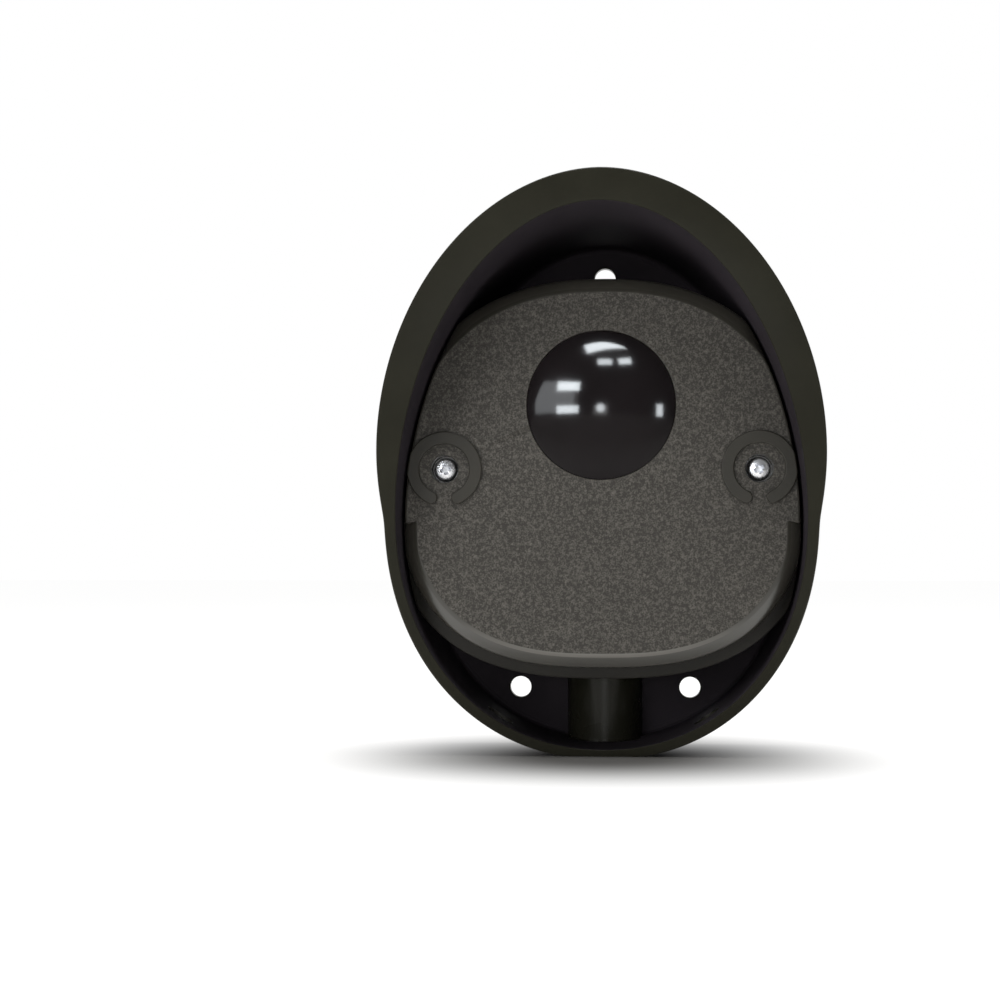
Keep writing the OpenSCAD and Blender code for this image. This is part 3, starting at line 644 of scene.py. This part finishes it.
def hood_shell():
    """The hood: tube, lip, rim and back wall as one skin, then its channel, bosses and holes"""
    s = sizes()
    turns = even_turns(288)
    wall_y = HOOD_HIGH.y
    outer = hood_radii(turns)
    inner = hood_radii(turns, s.hood_wall)
    front = lip_radii(turns, 1.0)

    def plane(radii, y):
        return [(x, y, max(0.0, z)) for x, y, z in oval_ring(turns, radii, HOOD_MIDDLE, y)]

    def edge_rings(inset, y, *places):
        """Rings of a rounded edge: how much further in, and how far forwards"""
        return [
            plane(hood_radii(turns, inset + more * MM), y - forwards * MM)
            for more, forwards in places
        ]

    def at_mouth(radii, depth):
        return [(x, mouth_depth(z) + depth, z) for x, _, z in plane(radii, 0.0)]

    def between(first, last):
        """Rings in even steps from one ring to another"""
        return [
            [tuple(a + (b - a) * share for a, b in zip(p, q)) for p, q in zip(first, last)]
            for share in [i / 14 for i in range(15)]
        ]

    # Back edge, tube, cove, lip, mouth rim, inside, and the corner at the back wall
    rings = edge_rings(0.0, wall_y, (0.7, 0), (0.25, 0.2), (0.05, 0.5))
    rings += between(plane(outer, wall_y - 0.9 * MM), at_mouth(outer, s.lip_depth))
    lip_back = 2.1 * MM
    for share in [i / 8 for i in range(1, 9)]:
        depth = s.lip_depth + (lip_back - s.lip_depth) * share
        rings.append(at_mouth(lip_radii(turns, 0.94 * share ** 2.2), depth))
    rings.append(at_mouth(lip_radii(turns, 0.98), 1.3 * MM))
    for radii, more, depth in (
        (front, 0, 0.6), (front, -0.08, 0.25), (front, -0.3, 0.04), (front, -0.7, 0),
        (inner, 0.6, 0), (inner, 0.2, 0.05), (inner, 0.03, 0.25),
    ):
        rings.append(at_mouth(radii + more * MM, depth * MM))
    rings += between(at_mouth(inner, 0.6 * MM), plane(inner, BACK_Y - 1.4 * MM))
    rings += edge_rings(s.hood_wall, BACK_Y, (0.2, 0.7), (0.6, 0.2), (1.4, 0))
    piece = draw_rings("hood_shell", rings)

    # Cable channel: a half-round rib inside, hollow towards the wall
    top = COVER_LOW.z - s.ledge_width - 0.3 * MM
    rib = upright("rib", s.channel_width / 2, 1.2 * MM, top, BACK_Y)
    keep = block("keep", (-s.channel_width, 0, 0), (s.channel_width, wall_y - 0.1 * MM, 0.05))
    combine(rib, keep, "INTERSECT")
    add(piece, rib)
    for side in SIDES:
        x = side * BASE_SCREW_X
        for z in BASE_SCREW_Z:
            add(piece, rod("boss", 4.5 * MM, BACK_Y - 3 * MM, BACK_Y + 1 * MM, x, z, 48))
            cut(piece, rod("bore", 1.55 * MM, BACK_Y - 4 * MM, wall_y - 0.8 * MM, x, z, 32))
    groove = s.channel_width / 2 - 2 * MM
    groove_y = BACK_Y - 0.5 * MM
    cut(piece, upright("groove", groove, -MM, top + MM, BACK_Y))
    cut(piece, block("slot", (-groove, groove_y, -MM), (groove, wall_y + MM, CABLE_Z)))
    cut(piece, rod("slot_top", groove, groove_y, wall_y + MM, 0.0, CABLE_Z))

    # Fixing holes with a small chamfer on the inside, and the drain holes square to the wall
    hole = s.fixing_hole / 2
    for x, z in ((-21.4 * MM, 14.5 * MM), (21.4 * MM, 14.5 * MM), (0.0, 117.9 * MM)):
        cut(piece, turned("hole", [
            (hole + 1.35 * MM, BACK_Y - 1 * MM), (hole + 0.35 * MM, BACK_Y),
            (hole, BACK_Y + 0.35 * MM), (hole, wall_y + 1 * MM),
        ], x, z, 64))
    drain_y = mouth_depth(0.0) + 9 * MM
    for side in SIDES:
        drill = upright("drill", s.drain_hole / 2, -40 * MM, 27 * MM, drain_y, 64)
        pick(drill)
        drill.location.z = 0.0
        bpy.ops.transform.rotate(
            value=math.radians(side * 29), orient_axis="Y",
            center_override=(0.0, drain_y, s.hood_wide),
        )
        apply_place()
        cut(piece, drill)
    crisp_flats(piece)
    smooth(piece, 32)
    return piece


def rear_shell():
    """The rear shell of the housing, with its ledge, gasket groove, cavity, posts and bores"""
    s = sizes()
    turns = even_turns(240)
    rim_y = SHELL_LOW.y
    base_y = SHELL_HIGH.y
    floor_y = base_y - 2.4 * MM
    ledge_end = rim_y + 3.2 * MM

    # The ledge fades out above the lower half of the cover
    plain = housing_radii(turns)
    heights = HOUSING_MIDDLE + plain * np.cos(turns)
    fade = np.clip((52 * MM - heights) / (4 * MM), 0, 1)
    ledge = plain + (housing_radii(turns, 0.0, s.ledge_width) - plain) * fade
    body = housing_radii(turns, 1.8 * MM)

    # Up the outside, round the ledge, through the gasket groove and down the cavity
    rings = inset_rings(
        turns, (3.4, base_y), (2.2, base_y - 0.4 * MM), (1.85, base_y - 1.4 * MM)
    )
    for radii, more, y in (
        (body, 0, floor_y), (body, 0, ledge_end + 0.4 * MM), (body, 0.15, ledge_end),
        (ledge, -0.5, ledge_end), (ledge, -0.1, ledge_end - 0.15 * MM),
        (ledge, 0, ledge_end - 0.5 * MM), (ledge, 0, rim_y + 0.6 * MM),
        (ledge, -0.12, rim_y + 0.18 * MM), (ledge, -0.5, rim_y),
    ):
        rings.append(housing_ring(turns, radii + more * MM, y))
    rings += inset_rings(
        turns, (1.4, rim_y), (1.4, rim_y + MM), (3, rim_y + MM), (3, rim_y), (4, rim_y),
        (4, floor_y - 0.8 * MM), (4.3, floor_y - 0.2 * MM), (4.9, floor_y),
    )
    piece = draw_rings("rear_shell", rings)
    post_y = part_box("threaded_inserts")[0].y
    board_back = BOARD_HIGH.y
    for side in SIDES:
        x = side * SCREW_X
        add(piece, turned("post", [
            (4 * MM, post_y), (4.2 * MM, post_y + 0.2 * MM), (4.2 * MM, floor_y + MM),
        ], x, SCREW_Z, 48))
        cut(piece, rod("bore", 2.35 * MM, post_y - MM, post_y + 8 * MM, x, SCREW_Z, 32))
        cut(piece, rod("bore", 1.7 * MM, post_y, SCREW_HIGH.y + MM, x, SCREW_Z, 32))
        x = side * (BOARD_HIGH.x - 4 * MM)
        for z in (BOARD_LOW.z + 4 * MM, BOARD_HIGH.z - 4 * MM):
            add(piece, rod("post", 3 * MM, board_back, floor_y + MM, x, z, 48))
            cut(piece, rod("bore", 1.3 * MM, board_back - MM, BOARD_LOW.y + 9 * MM, x, z, 32))
        x = side * BASE_SCREW_X
        for z in BASE_SCREW_Z:
            cut(piece, rod("bore", 1.7 * MM, floor_y - MM, base_y + MM, x, z, 32))
    cut(piece, rod("inlet", 5.05 * MM, floor_y - MM, base_y + MM, 0.0, CABLE_Z, 64))
    crisp_flats(piece)
    smooth(piece, 32)
    return piece


def screw_rib(place):
    """The raised rib round a screw well: a bar bent to a C, with round ends, trimmed at the rim"""
    s = sizes()
    half = s.ring_width / 2
    middle = s.ring_diameter / 2 - half
    gap = math.asin((s.ring_gap / 2 + 0.85 * half) / middle)
    top = COVER_LOW.y
    fillet = 0.3 * MM

    def outline(inset, y):
        reach = half - inset
        points = []
        for direction, end in ((1, math.tau - gap), (-1, gap)):
            for turn in np.linspace(gap, math.tau - gap, 72)[::direction]:
                radius = middle + direction * reach
                points.append((radius * math.sin(turn), radius * math.cos(turn)))
            for turn in np.linspace(0, math.pi, 14)[1:-1]:
                out = direction * math.cos(turn) * reach
                on = direction * math.sin(turn) * reach
                points.append((
                    (middle + out) * math.sin(end) + on * math.cos(end),
                    (middle + out) * math.cos(end) - on * math.sin(end),
                ))
        x, z = np.array([place, SCREW_Z])[:, None] - np.transpose(points)
        rise = z - HOUSING_MIDDLE
        rim = housing_radii(np.arctan2(x, rise), 0.1 * MM + inset)
        trim = np.minimum(1, rim / np.hypot(x, rise))
        return [(a, y, b) for a, b in zip(x * trim, HOUSING_MIDDLE + rise * trim)]

    rings = []
    for turn in np.linspace(0, math.pi / 2, 5):
        rings.append(outline(fillet * (1 - math.sin(turn)), top + fillet * (1 - math.cos(turn))))
    rings.append(outline(0.0, top + s.ring_height + 0.6 * MM))
    return draw_rings("screw_rib", rings)


def face_radii(turns):
    """Outline of the flat face: it runs out to the edge beside and above the screws"""
    s = sizes()
    bevelled = housing_radii(turns, s.bevel_width)
    wide, top = 63 * MM, COVER_HIGH.z - s.bevel_width
    oval = oval_radii(
        turns, HOUSING_MIDDLE, s.cover_width / 2 - 1.8 * MM, 2 * wide - top, wide, top,
        COVER_TOP_POWER, COVER_TOP_POWER,
    )
    full = soft_least(oval, housing_radii(turns, 0.4 * MM), 0.3 * MM)
    above = HOUSING_MIDDLE + full * np.cos(turns) > SCREW_Z - STEP_DROP
    return np.where(above, np.maximum(bevelled, full), bevelled)


def face_depth():
    return COVER_LOW.y + sizes().ring_height


def cover_turns():
    """Turns for the cover, closer together at the step below each screw"""
    fine = np.linspace(0, math.pi, 20001)
    heights = HOUSING_MIDDLE + housing_radii(fine, 0.4 * MM) * np.cos(fine)
    step = fine[np.argmin(np.abs(heights - (SCREW_Z - STEP_DROP)))]
    edges = [step, math.tau - step]
    kept = [t for t in even_turns(288) if min(abs(t - e) for e in edges) > 0.006]
    return np.array(sorted(kept + [e + d for e in edges for d in (-0.002, 0.002)]))


def cover_plate():
    """The front cover: grained face, rolled bevel, ears, ribs, wells and what is behind them"""
    s = sizes()
    turns = cover_turns()
    face_y = face_depth()
    edge_y = face_y + 4.4 * MM
    bevel_depth = 2.4 * MM
    flat = face_radii(turns)
    reach = housing_radii(turns) - flat

    # Edge of the face, bevel, back edge, and the skirt that stands in the rear shell
    rings = [
        housing_ring(turns, flat + out * MM, face_y + down * MM)
        for out, down in ((-0.35, 0), (-0.12, 0.02), (0.06, 0.08))
    ]
    for share in (0.1, 0.25, 0.4, 0.55, 0.7, 0.8, 0.9, 1.0):
        radii = flat + reach * (1 - (1 - share) ** 2)
        rings.append(housing_ring(turns, radii, face_y + bevel_depth * share))
    rings += inset_rings(
        turns, (0, edge_y - 0.2 * MM), (0.2, edge_y), (4.3, edge_y), (4.3, edge_y + 3.8 * MM),
        (4.5, edge_y + 4 * MM), (5.7, edge_y + 4 * MM), (5.9, edge_y + 3.8 * MM),
        (5.9, face_y + 3 * MM), (6.3, face_y + 2.6 * MM),
    )
    piece = draw_rings("cover_plate", rings)
    seat_y = DOME_HIGH.y
    bore = s.dome_diameter / 2 + 0.1 * MM
    flange = (DOME_HIGH.x - DOME_LOW.x) / 2 + 0.05 * MM
    add(piece, rod("seat", 21.15 * MM, face_y + MM, seat_y, 0.0, DOME_Z))
    for turn in map(math.radians, (30, 150, 270)):
        x = 23.15 * MM * math.cos(turn)
        z = DOME_Z + 23.15 * MM * math.sin(turn)
        add(piece, rod("boss", 2.6 * MM, face_y + MM, seat_y, x, z, 40))
        cut(piece, rod("bore", 1.05 * MM, seat_y - 2.6 * MM, seat_y + MM, x, z, 24))
    for x in (-SCREW_X, SCREW_X):
        add(piece, rod("boss", 4.2 * MM, face_y + MM, face_y + 9 * MM, x, SCREW_Z, 48))
        add(piece, screw_rib(x))
    cut(piece, turned("bore", [
        (bore + 1.2 * MM, face_y - 1.1 * MM), (bore + 0.1 * MM, face_y),
        (bore, face_y + 0.1 * MM), (bore, seat_y),
    ], 0.0, DOME_Z, 128))
    cut(piece, rod("recess", flange, face_y + 2.6 * MM, seat_y + MM, 0.0, DOME_Z, 128))
    for x in (-SCREW_X, SCREW_X):
        cut(piece, turned("well", [
            (4.2 * MM, face_y - 1.1 * MM), (3.3 * MM, face_y), (3.1 * MM, face_y + 0.2 * MM),
            (3.1 * MM, face_y + 4.9 * MM),
        ], x, SCREW_Z, 64))
        cut(piece, rod("bore", 1.7 * MM, face_y, face_y + 12 * MM, x, SCREW_Z, 40))
    crisp_flats(piece)
    smooth(piece, 58)
    return piece


def grain_the_face(piece):
    """Gives the flat face its grain, the ribs a finish, and the rolled edge a finish with a
    painted highlight low down
    """
    face_y = face_depth()
    for face in piece.data.polygons:
        flat = face.normal.y < -0.9999 and abs(face.center.y - face_y) < 0.005 * MM
        rib = face.center.y < face_y - 0.02 * MM
        # The rolled edge takes the finish with the painted highlight
        edge = face.center.y < face_y + 0.17 * MM
        face.material_index = 0 if flat else 2 if rib else 3 if edge else 1


def dome():
    """The dark dome with its flange, hollow behind"""
    face_y = face_depth()
    half = sizes().dome_diameter / 2
    height = face_y - DOME_LOW.y
    radius = (half ** 2 + height ** 2) / (2 * height)
    middle = DOME_LOW.y + radius
    flange = (DOME_HIGH.x - DOME_LOW.x) / 2
    flange_y = DOME_HIGH.y - 1.4 * MM
    inner = radius - 1.6 * MM
    bore = math.sqrt(inner ** 2 - (radius - height) ** 2)

    def arc(radius, edge, steps):
        """A skin of the dome in profile, from its middle out to an edge"""
        reach = math.asin(edge / radius)
        return [
            (radius * math.sin(reach * i / steps), middle - radius * math.cos(reach * i / steps))
            for i in range(steps + 1)
        ]

    profile = arc(radius, half, 40) + [
        (half, face_y + 0.5 * MM), (half, flange_y - 0.15 * MM), (half + 0.15 * MM, flange_y),
        (flange - 0.15 * MM, flange_y), (flange, flange_y + 0.15 * MM),
        (flange, DOME_HIGH.y - 0.15 * MM), (flange - 0.15 * MM, DOME_HIGH.y),
        (bore + 0.15 * MM, DOME_HIGH.y), (bore, DOME_HIGH.y - 0.15 * MM),
    ] + arc(inner, bore, 30)[::-1]
    piece = turned("dome", profile, 0.0, DOME_Z, 128)
    smooth(piece, 40)
    return piece


def cover_screw(name, x, turn):
    """A pan head screw with a rounded crown, a cross recess and a thread"""
    half = sizes().screw_head / 2
    front = SCREW_LOW.y
    seat = front + 2.2 * MM
    end = SCREW_HIGH.y
    crown = 0.5 * MM
    radius = (half ** 2 + crown ** 2) / (2 * crown)
    profile = [
        (reach, front + radius - math.sqrt(radius ** 2 - reach ** 2))
        for reach in [half * 0.93 * i / 8 for i in range(9)]
    ]
    profile += [
        (half * 0.985, front + 0.62 * MM), (half, front + 0.9 * MM), (half, seat - 0.2 * MM),
        (half - 0.2 * MM, seat), (1.5 * MM, seat),
    ]
    pitch = 0.5 * MM
    y = seat + 4 * MM
    profile.append((1.5 * MM, y))
    while y < end - 1.2 * MM:
        profile += [(1.22 * MM, y + pitch / 2), (1.5 * MM, y + pitch)]
        y += pitch
    profile += [(1.0 * MM, end - 0.3 * MM), (0.7 * MM, end), (0.0, end)]
    piece = turned(name, profile, x, SCREW_Z, 48)

    # Each slot of the recess is a bar that narrows inwards
    for quarter_turn in (0, 90):
        clear_selection()
        bpy.ops.mesh.primitive_cube_add(size=1, location=(x, front + 0.1 * MM, SCREW_Z))
        slot = bpy.context.object
        bpy.ops.object.mode_set(mode="EDIT")
        bpy.ops.mesh.select_all(action="SELECT")
        bpy.ops.transform.resize(value=(3.7 * MM, 2.2 * MM, 1.15 * MM))
        pick_faces(slot, lambda face: face.normal.y > 0.9)
        bpy.ops.transform.resize(value=(0.34, 1, 0.8))
        bpy.ops.mesh.select_all(action="SELECT")
        bpy.ops.transform.rotate(
            value=math.radians(turn + quarter_turn), orient_axis="Y",
            center_override=(x, front, SCREW_Z),
        )
        bpy.ops.object.mode_set(mode="OBJECT")
        apply_place()
        cut(piece, slot)
    smooth(piece, 35)
    return piece


def dull_the_recess(piece, x):
    """Gives the cross recess of a screw the second material"""
    for face in piece.data.polygons:
        reach = math.hypot(face.center.x - x, face.center.z - SCREW_Z)
        deep = face.center.y - SCREW_LOW.y
        face.material_index = int(reach < 1.8 * MM and 0.35 * MM < deep < 1.5 * MM)


def part_the_skin(piece):
    """Gives the hood's inside, its mouth rim and its cable rib a material each; the inside's
    material carries a painted shade tone
    """
    x, y, z = np.transpose([face.center[:] for face in piece.data.polygons])
    rise = z - HOOD_MIDDLE
    skin = hood_radii(np.arctan2(x, rise), sizes().hood_wall - 0.2 * MM)
    mouths = np.array([mouth_depth(max(0.0, height)) for height in z])
    rim = y < mouths + 0.3 * MM
    inside = (np.hypot(x, rise) < skin) & (y < BACK_Y + 0.05 * MM)
    rib = (np.abs(x) < sizes().channel_width / 2) & (z < COVER_LOW.z)
    rib &= (y > 20 * MM) & (y < BACK_Y - 0.05 * MM)
    for face, part in zip(piece.data.polygons, np.select([rib, rim, inside], [3, 2, 1], 0)):
        face.material_index = int(part)


# Stage

def soft_lamp(name, place, target_z, width, height, power):
    """A lamp that looks at a point on the object's middle line"""
    data = bpy.data.lights.new(name, "AREA")
    data.shape = "ELLIPSE" if width == height else "RECTANGLE"
    data.size = width
    data.size_y = height
    data.energy = power
    lamp = bpy.data.objects.new(name, data)
    lamp.location = place
    x, y, z = [b - a for a, b in zip(lamp.location, (0, 0, target_z))]
    lamp.rotation_euler = (math.atan2(math.hypot(x, y), -z), 0.0, math.atan2(-x, y))
    bpy.context.scene.collection.objects.link(lamp)
    return lamp


def seen_directly(tree):
    """Is Camera Ray, and a mask that is 1 for camera, glossy and transmission rays"""
    rays = tree.nodes.new("ShaderNodeLightPath").outputs
    camera_ray = rays["Is Camera Ray"]
    most = arithmetic(tree, "MAXIMUM", camera_ray, rays["Is Glossy Ray"])
    return camera_ray, arithmetic(tree, "MAXIMUM", most, rays["Is Transmission Ray"])


def floor_material():
    """Pale floor: white where it is seen, and darker in the object's shadow, partly cast by the
    lamps and partly painted, since the camera sees a fifth of the floor's colour and the white
    glow starts only 12 mm out
    """
    material, tree, shader, place = new_material("pale_floor", colours().stage, 0.9, 0.0)
    camera_ray, seen = seen_directly(tree)
    # Painted shadow: to the camera the floor has a fifth of its colour, so it stays dark where the
    # glow is low
    tint(tree, shader, camera_ray, colours().stage, shade(colours().stage, 0.2))
    shader.inputs["Emission Color"].default_value = (1.0, 1.0, 1.0, 1.0)
    # The painted shadow is an oval, a little shorter front to back than across
    oval = new_node(tree, "Mapping", Vector=place, Scale=(1.0, 1.1, 1.0))
    away = tree.nodes.new("ShaderNodeVectorMath")
    away.operation = "LENGTH"
    tree.links.new(oval.outputs["Vector"], away.inputs[0])

    # The white glow grows from 12 to 82 mm out, which paints a shadow round the object's foot, and
    # in front it lights the object less than it shows
    glow_outside_painted_shadow = spread(tree, away.outputs["Value"], 0.012, 0.082, 0.0, 0.95)
    glow_outside_painted_shadow.node.interpolation_type = "SMOOTHSTEP"
    front = spread(tree, along(tree, place, "Y"), -0.16, -0.07, 0.1, 1.0)
    front = arithmetic(tree, "MAXIMUM", front, camera_ray)
    glow_outside_painted_shadow = arithmetic(tree, "MULTIPLY", glow_outside_painted_shadow, front)
    feed(tree, shader.inputs["Emission Strength"], arithmetic(tree, "MULTIPLY", seen, glow_outside_painted_shadow))
    return material


def studio_world():
    """A dim room, brighter behind, that is white where it is seen"""
    world = bpy.data.worlds.new("studio")
    world.use_nodes = True
    tree = world.node_tree
    background = tree.nodes["Background"]
    background.inputs["Color"].default_value = (1.0, 1.0, 1.0, 1.0)
    depth = along(tree, tree.nodes.new("ShaderNodeTexCoord").outputs["Generated"], "Y")
    room = spread(tree, depth, -0.3, 0.7, 0.12, 0.4)
    camera_ray, seen = seen_directly(tree)
    white = spread(tree, depth, -0.5, -0.05, 0.12, 1.0)
    white = arithmetic(tree, "MAXIMUM", white, camera_ray)
    strength = arithmetic(tree, "MAXIMUM", room, arithmetic(tree, "MULTIPLY", seen, white))
    feed(tree, background.inputs["Strength"], strength)
    return world


def collection_of(name, *pieces):
    """A collection for light linking"""
    group = bpy.data.collections.new(name)
    for piece in pieces:
        group.objects.link(bpy.data.objects[piece])
    return group


# Lamps: name, place, the height that it looks at, width and height in metres, and watts
LAMPS = (
    ("overhead", (-0.05, 0.08, 0.95), 0.06, 0.45, 0.4, 5.6),
    ("front_high", (0.145, -0.57, 1.03), 0.08, 0.8, 0.28, 7.0),
    ("left_room", (-0.63, -0.77, 0.27), 0.08, 0.7, 0.42, 4.0),
    ("front_low", (-0.02, -1.0, 0.07), 0.08, 0.2, 0.15, 0.9),
)

# Cards that show only in the dome, and the first in the screws too: name, degrees to the right,
# degrees up, width and height in metres, and watts
REFLECTIONS = (
    ("window", -41, 10, 0.62, 0.44, 11.0),
    ("ceiling", 16, 60.5, 0.8, 0.3, 88.0),
    ("window_high", -29, 19, 0.33, 0.127, 17.0),
    ("window_low", -29, 0.2, 0.33, 0.11, 12.0),
    ("lamp_left", 2.5, 40, 0.19, 0.09, 5.6),
    ("lamp_right", 22.5, 40, 0.17, 0.09, 5.6),
    ("right_bar", 48.8, -1, 0.1, 0.19, 5.6),
    ("spot", -1.3, 1.0, 0.12, 0.12, 3.2),
)


# Operators

class MakeHood(Operator):
    """Model the hood with its lip, cable channel and holes"""

    bl_idname = "photocell.make_hood"
    bl_label = "Hood"

    def execute(self, context):
        piece = hood_shell()
        finish_with(
            piece, moulded_plastic("hood_satin", colours().hood, 0.33, 0.3),
            # The inside takes a painted shade tone
            moulded_plastic("hood_matt", colours().inside_painted_shade, 0.65, 0.04),
            moulded_plastic("hood_rim", colours().hood, 0.36, 0.06),
            moulded_plastic("cable_rib", colours().hood, 0.26, 0.15),
        )
        part_the_skin(piece)
        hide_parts("hood")
        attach(piece, "housing")
        return {"FINISHED"}


class MakeRearShell(Operator):
    """Model the rear shell of the housing"""

    bl_idname = "photocell.make_rear_shell"
    bl_label = "Rear shell"

    def execute(self, context):
        piece = rear_shell()
        finish_with(piece, moulded_plastic("shell_satin", colours().shell, 0.42, 0.12))
        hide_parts("base_housing")
        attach(piece, "housing")
        return {"FINISHED"}


class MakeCover(Operator):
    """Model the front cover with its grained face, bevel, ribs and wells"""

    bl_idname = "photocell.make_cover"
    bl_label = "Front cover"

    def execute(self, context):
        piece = cover_plate()
        finish_with(
            piece, grained_plastic("cover_grain", colours().cover),
            moulded_plastic("cover_smooth", colours().cover_rim, 0.3, 0.7),
            moulded_plastic("cover_rib", shade(colours().cover_rim, 0.95), 0.4, 0.2),
            # The rolled edge's finish paints a highlight along its low part
            painted_glint_edge("cover_edge", colours().cover_rim, colours().painted_glint),
        )
        grain_the_face(piece)
        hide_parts("front_cover")
        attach(piece, "cover")
        return {"FINISHED"}


class MakeDome(Operator):
    """Model the dark dome window"""

    bl_idname = "photocell.make_dome"
    bl_label = "Dome window"

    def execute(self, context):
        piece = dome()
        finish_with(piece, dark_window("dome_plastic", colours().window))
        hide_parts("dome_window")
        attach(piece, "cover")
        return {"FINISHED"}


class MakeCoverScrews(Operator):
    """Model the two captive cover screws"""

    bl_idname = "photocell.make_cover_screws"
    bl_label = "Cover screws"

    def execute(self, context):
        for x, node, body, turn in (
            (-SCREW_X, "cover_screw_left", "left_screw", 12),
            (SCREW_X, "cover_screw_right", "right_screw", 28),
        ):
            piece = cover_screw(f"{body}_piece", x, turn)
            finish_with(
                piece, scuffed_metal("zinc_plate", colours().steel, 0.2),
                scuffed_metal("zinc_recess", colours().steel, 0.55),
            )
            dull_the_recess(piece, x)
            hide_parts(node)
            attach(piece, body)
        return {"FINISHED"}


class FinishInside(Operator):
    """Give the solids inside the housing their finishes"""

    bl_idname = "photocell.finish_inside"
    bl_label = "Inside parts"

    def execute(self, context):
        c = colours()
        zinc = scuffed_metal("zinc_plate", c.steel, 0.2)
        brass = scuffed_metal("brass", c.brass, 0.25)
        rubber = moulded_plastic("soft_black", c.rubber, 0.62, 0.5, 0.03 * MM, 1800.0)
        lacquer = moulded_plastic("board_lacquer", c.board, 0.3, 0.5, 0.02 * MM, 700.0)
        dark = moulded_plastic("optic_satin", (0.02, 0.02, 0.021), 0.45)
        grey = moulded_plastic("soft_grey", (0.05, 0.05, 0.048), 0.6, 0.5, 0.03 * MM, 1800.0)
        clear = clear_plastic("lens_clear")
        diode = dark_window("diode_plastic", (0.02, 0.008, 0.03))
        for node, name, tone, roughness in (
            ("terminal_block", "terminal_case", (0.03, 0.2, 0.07), 0.4),
            ("relay", "relay_case", (0.012, 0.04, 0.16), 0.32),
            ("capacitors", "can_sleeve", (0.012, 0.016, 0.03), 0.25),
            ("control_chip", "chip_case", (0.02, 0.02, 0.02), 0.5),
            ("status_led", "led_case", (0.5, 0.02, 0.015), 0.12),
            ("trimmer_body", "trimmer_blue", (0.03, 0.11, 0.32), 0.35),
            ("trimmer_rotor", "rotor_white", (0.7, 0.68, 0.62), 0.4),
            ("mode_jumper", "jumper_black", (0.015, 0.015, 0.02), 0.4),
        ):
            finish_with(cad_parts[node], moulded_plastic(name, tone, roughness))
        for material, *names in (
            (zinc, "base_screws", "board_screws", "terminal_screws", "retainer_screws"),
            (brass, "threaded_inserts", "jumper_pins"),
            (rubber, "cable_grommet", "screw_seals", "window_seal"),
            (grey, "cover_gasket"),
            (lacquer, "circuit_board", "eye_board"),
            (dark, "optic_bracket", "swivel_yoke", "eye_barrel", "window_retainer"),
            (clear, "focus_lens"),
            (diode, "infrared_diode"),
        ):
            for name in names:
                finish_with(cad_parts[name], material)
        return {"FINISHED"}


class MakeStage(Operator):
    """Make the floor, the lamps, the world and the camera"""

    bl_idname = "photocell.make_stage"
    bl_label = "Stage"

    def execute(self, context):
        scene = context.scene
        clear_selection()
        bpy.ops.mesh.primitive_plane_add(size=8.0, location=(0, 0, 0))
        floor = context.object
        floor.name = "floor"
        finish_with(floor, floor_material())
        scene.world = studio_world()

        for lamp in LAMPS:
            soft_lamp(*lamp)
        polished = collection_of("polished", "dome")
        shiny = collection_of("shiny", "dome", "left_screw_piece", "right_screw_piece")
        for name, turn, rise, *size_and_power in REFLECTIONS:
            turn, rise = math.radians(turn), math.radians(rise)
            place = (
                math.sin(turn) * math.cos(rise), -math.cos(turn) * math.cos(rise),
                DOME_Z + math.sin(rise),
            )
            lamp = soft_lamp(name, place, DOME_Z, *size_and_power)
            lamp.data.color = (0.9, 0.96, 1.0)
            lamp.visible_diffuse = False
            lamp.light_linking.receiver_collection = shiny if name == "window" else polished

        data = bpy.data.cameras.new("camera")
        data.lens = 68.4
        data.sensor_width = 36.0
        data.shift_y = 0.0607
        data.clip_start = 0.01
        camera = bpy.data.objects.new("camera", data)
        camera.location = (0.00998, -0.4508, 0.0465)
        camera.rotation_euler = (math.pi / 2, 0.0, math.asin(0.0759))
        scene.collection.objects.link(camera)
        scene.camera = camera
        scene.view_settings.view_transform = "Standard"
        return {"FINISHED"}


STEPS = (
    MakeHood, MakeRearShell, MakeCover, MakeDome, MakeCoverScrews, FinishInside, MakeStage,
)


class PhotocellPanel(Panel):
    """Lists the steps that build the photocell"""

    bl_idname = "VIEW3D_PT_photocell"
    bl_label = "Photocell"
    bl_space_type = "VIEW_3D"
    bl_region_type = "UI"
    bl_category = "Photocell"

    def draw(self, context):
        layout = self.layout
        for step in STEPS:
            layout.operator(step.bl_idname)
        for group in (sizes(), colours()):
            box = layout.box()
            for name in group.__annotations__:
                box.prop(group, name)


CLASSES = (PhotocellSizes, PhotocellColours, *STEPS, PhotocellPanel)


def register():
    for item in CLASSES:
        bpy.utils.register_class(item)
    bpy.types.Scene.photocell_sizes = PointerProperty(type=PhotocellSizes)
    bpy.types.Scene.photocell_colours = PointerProperty(type=PhotocellColours)


def unregister():
    del bpy.types.Scene.photocell_colours
    del bpy.types.Scene.photocell_sizes
    for item in reversed(CLASSES):
        bpy.utils.unregister_class(item)


def main():
    register()
    for step in STEPS:
        group, name = step.bl_idname.split(".")
        getattr(getattr(bpy.ops, group), name)()


if __name__ == "__main__":
    main()
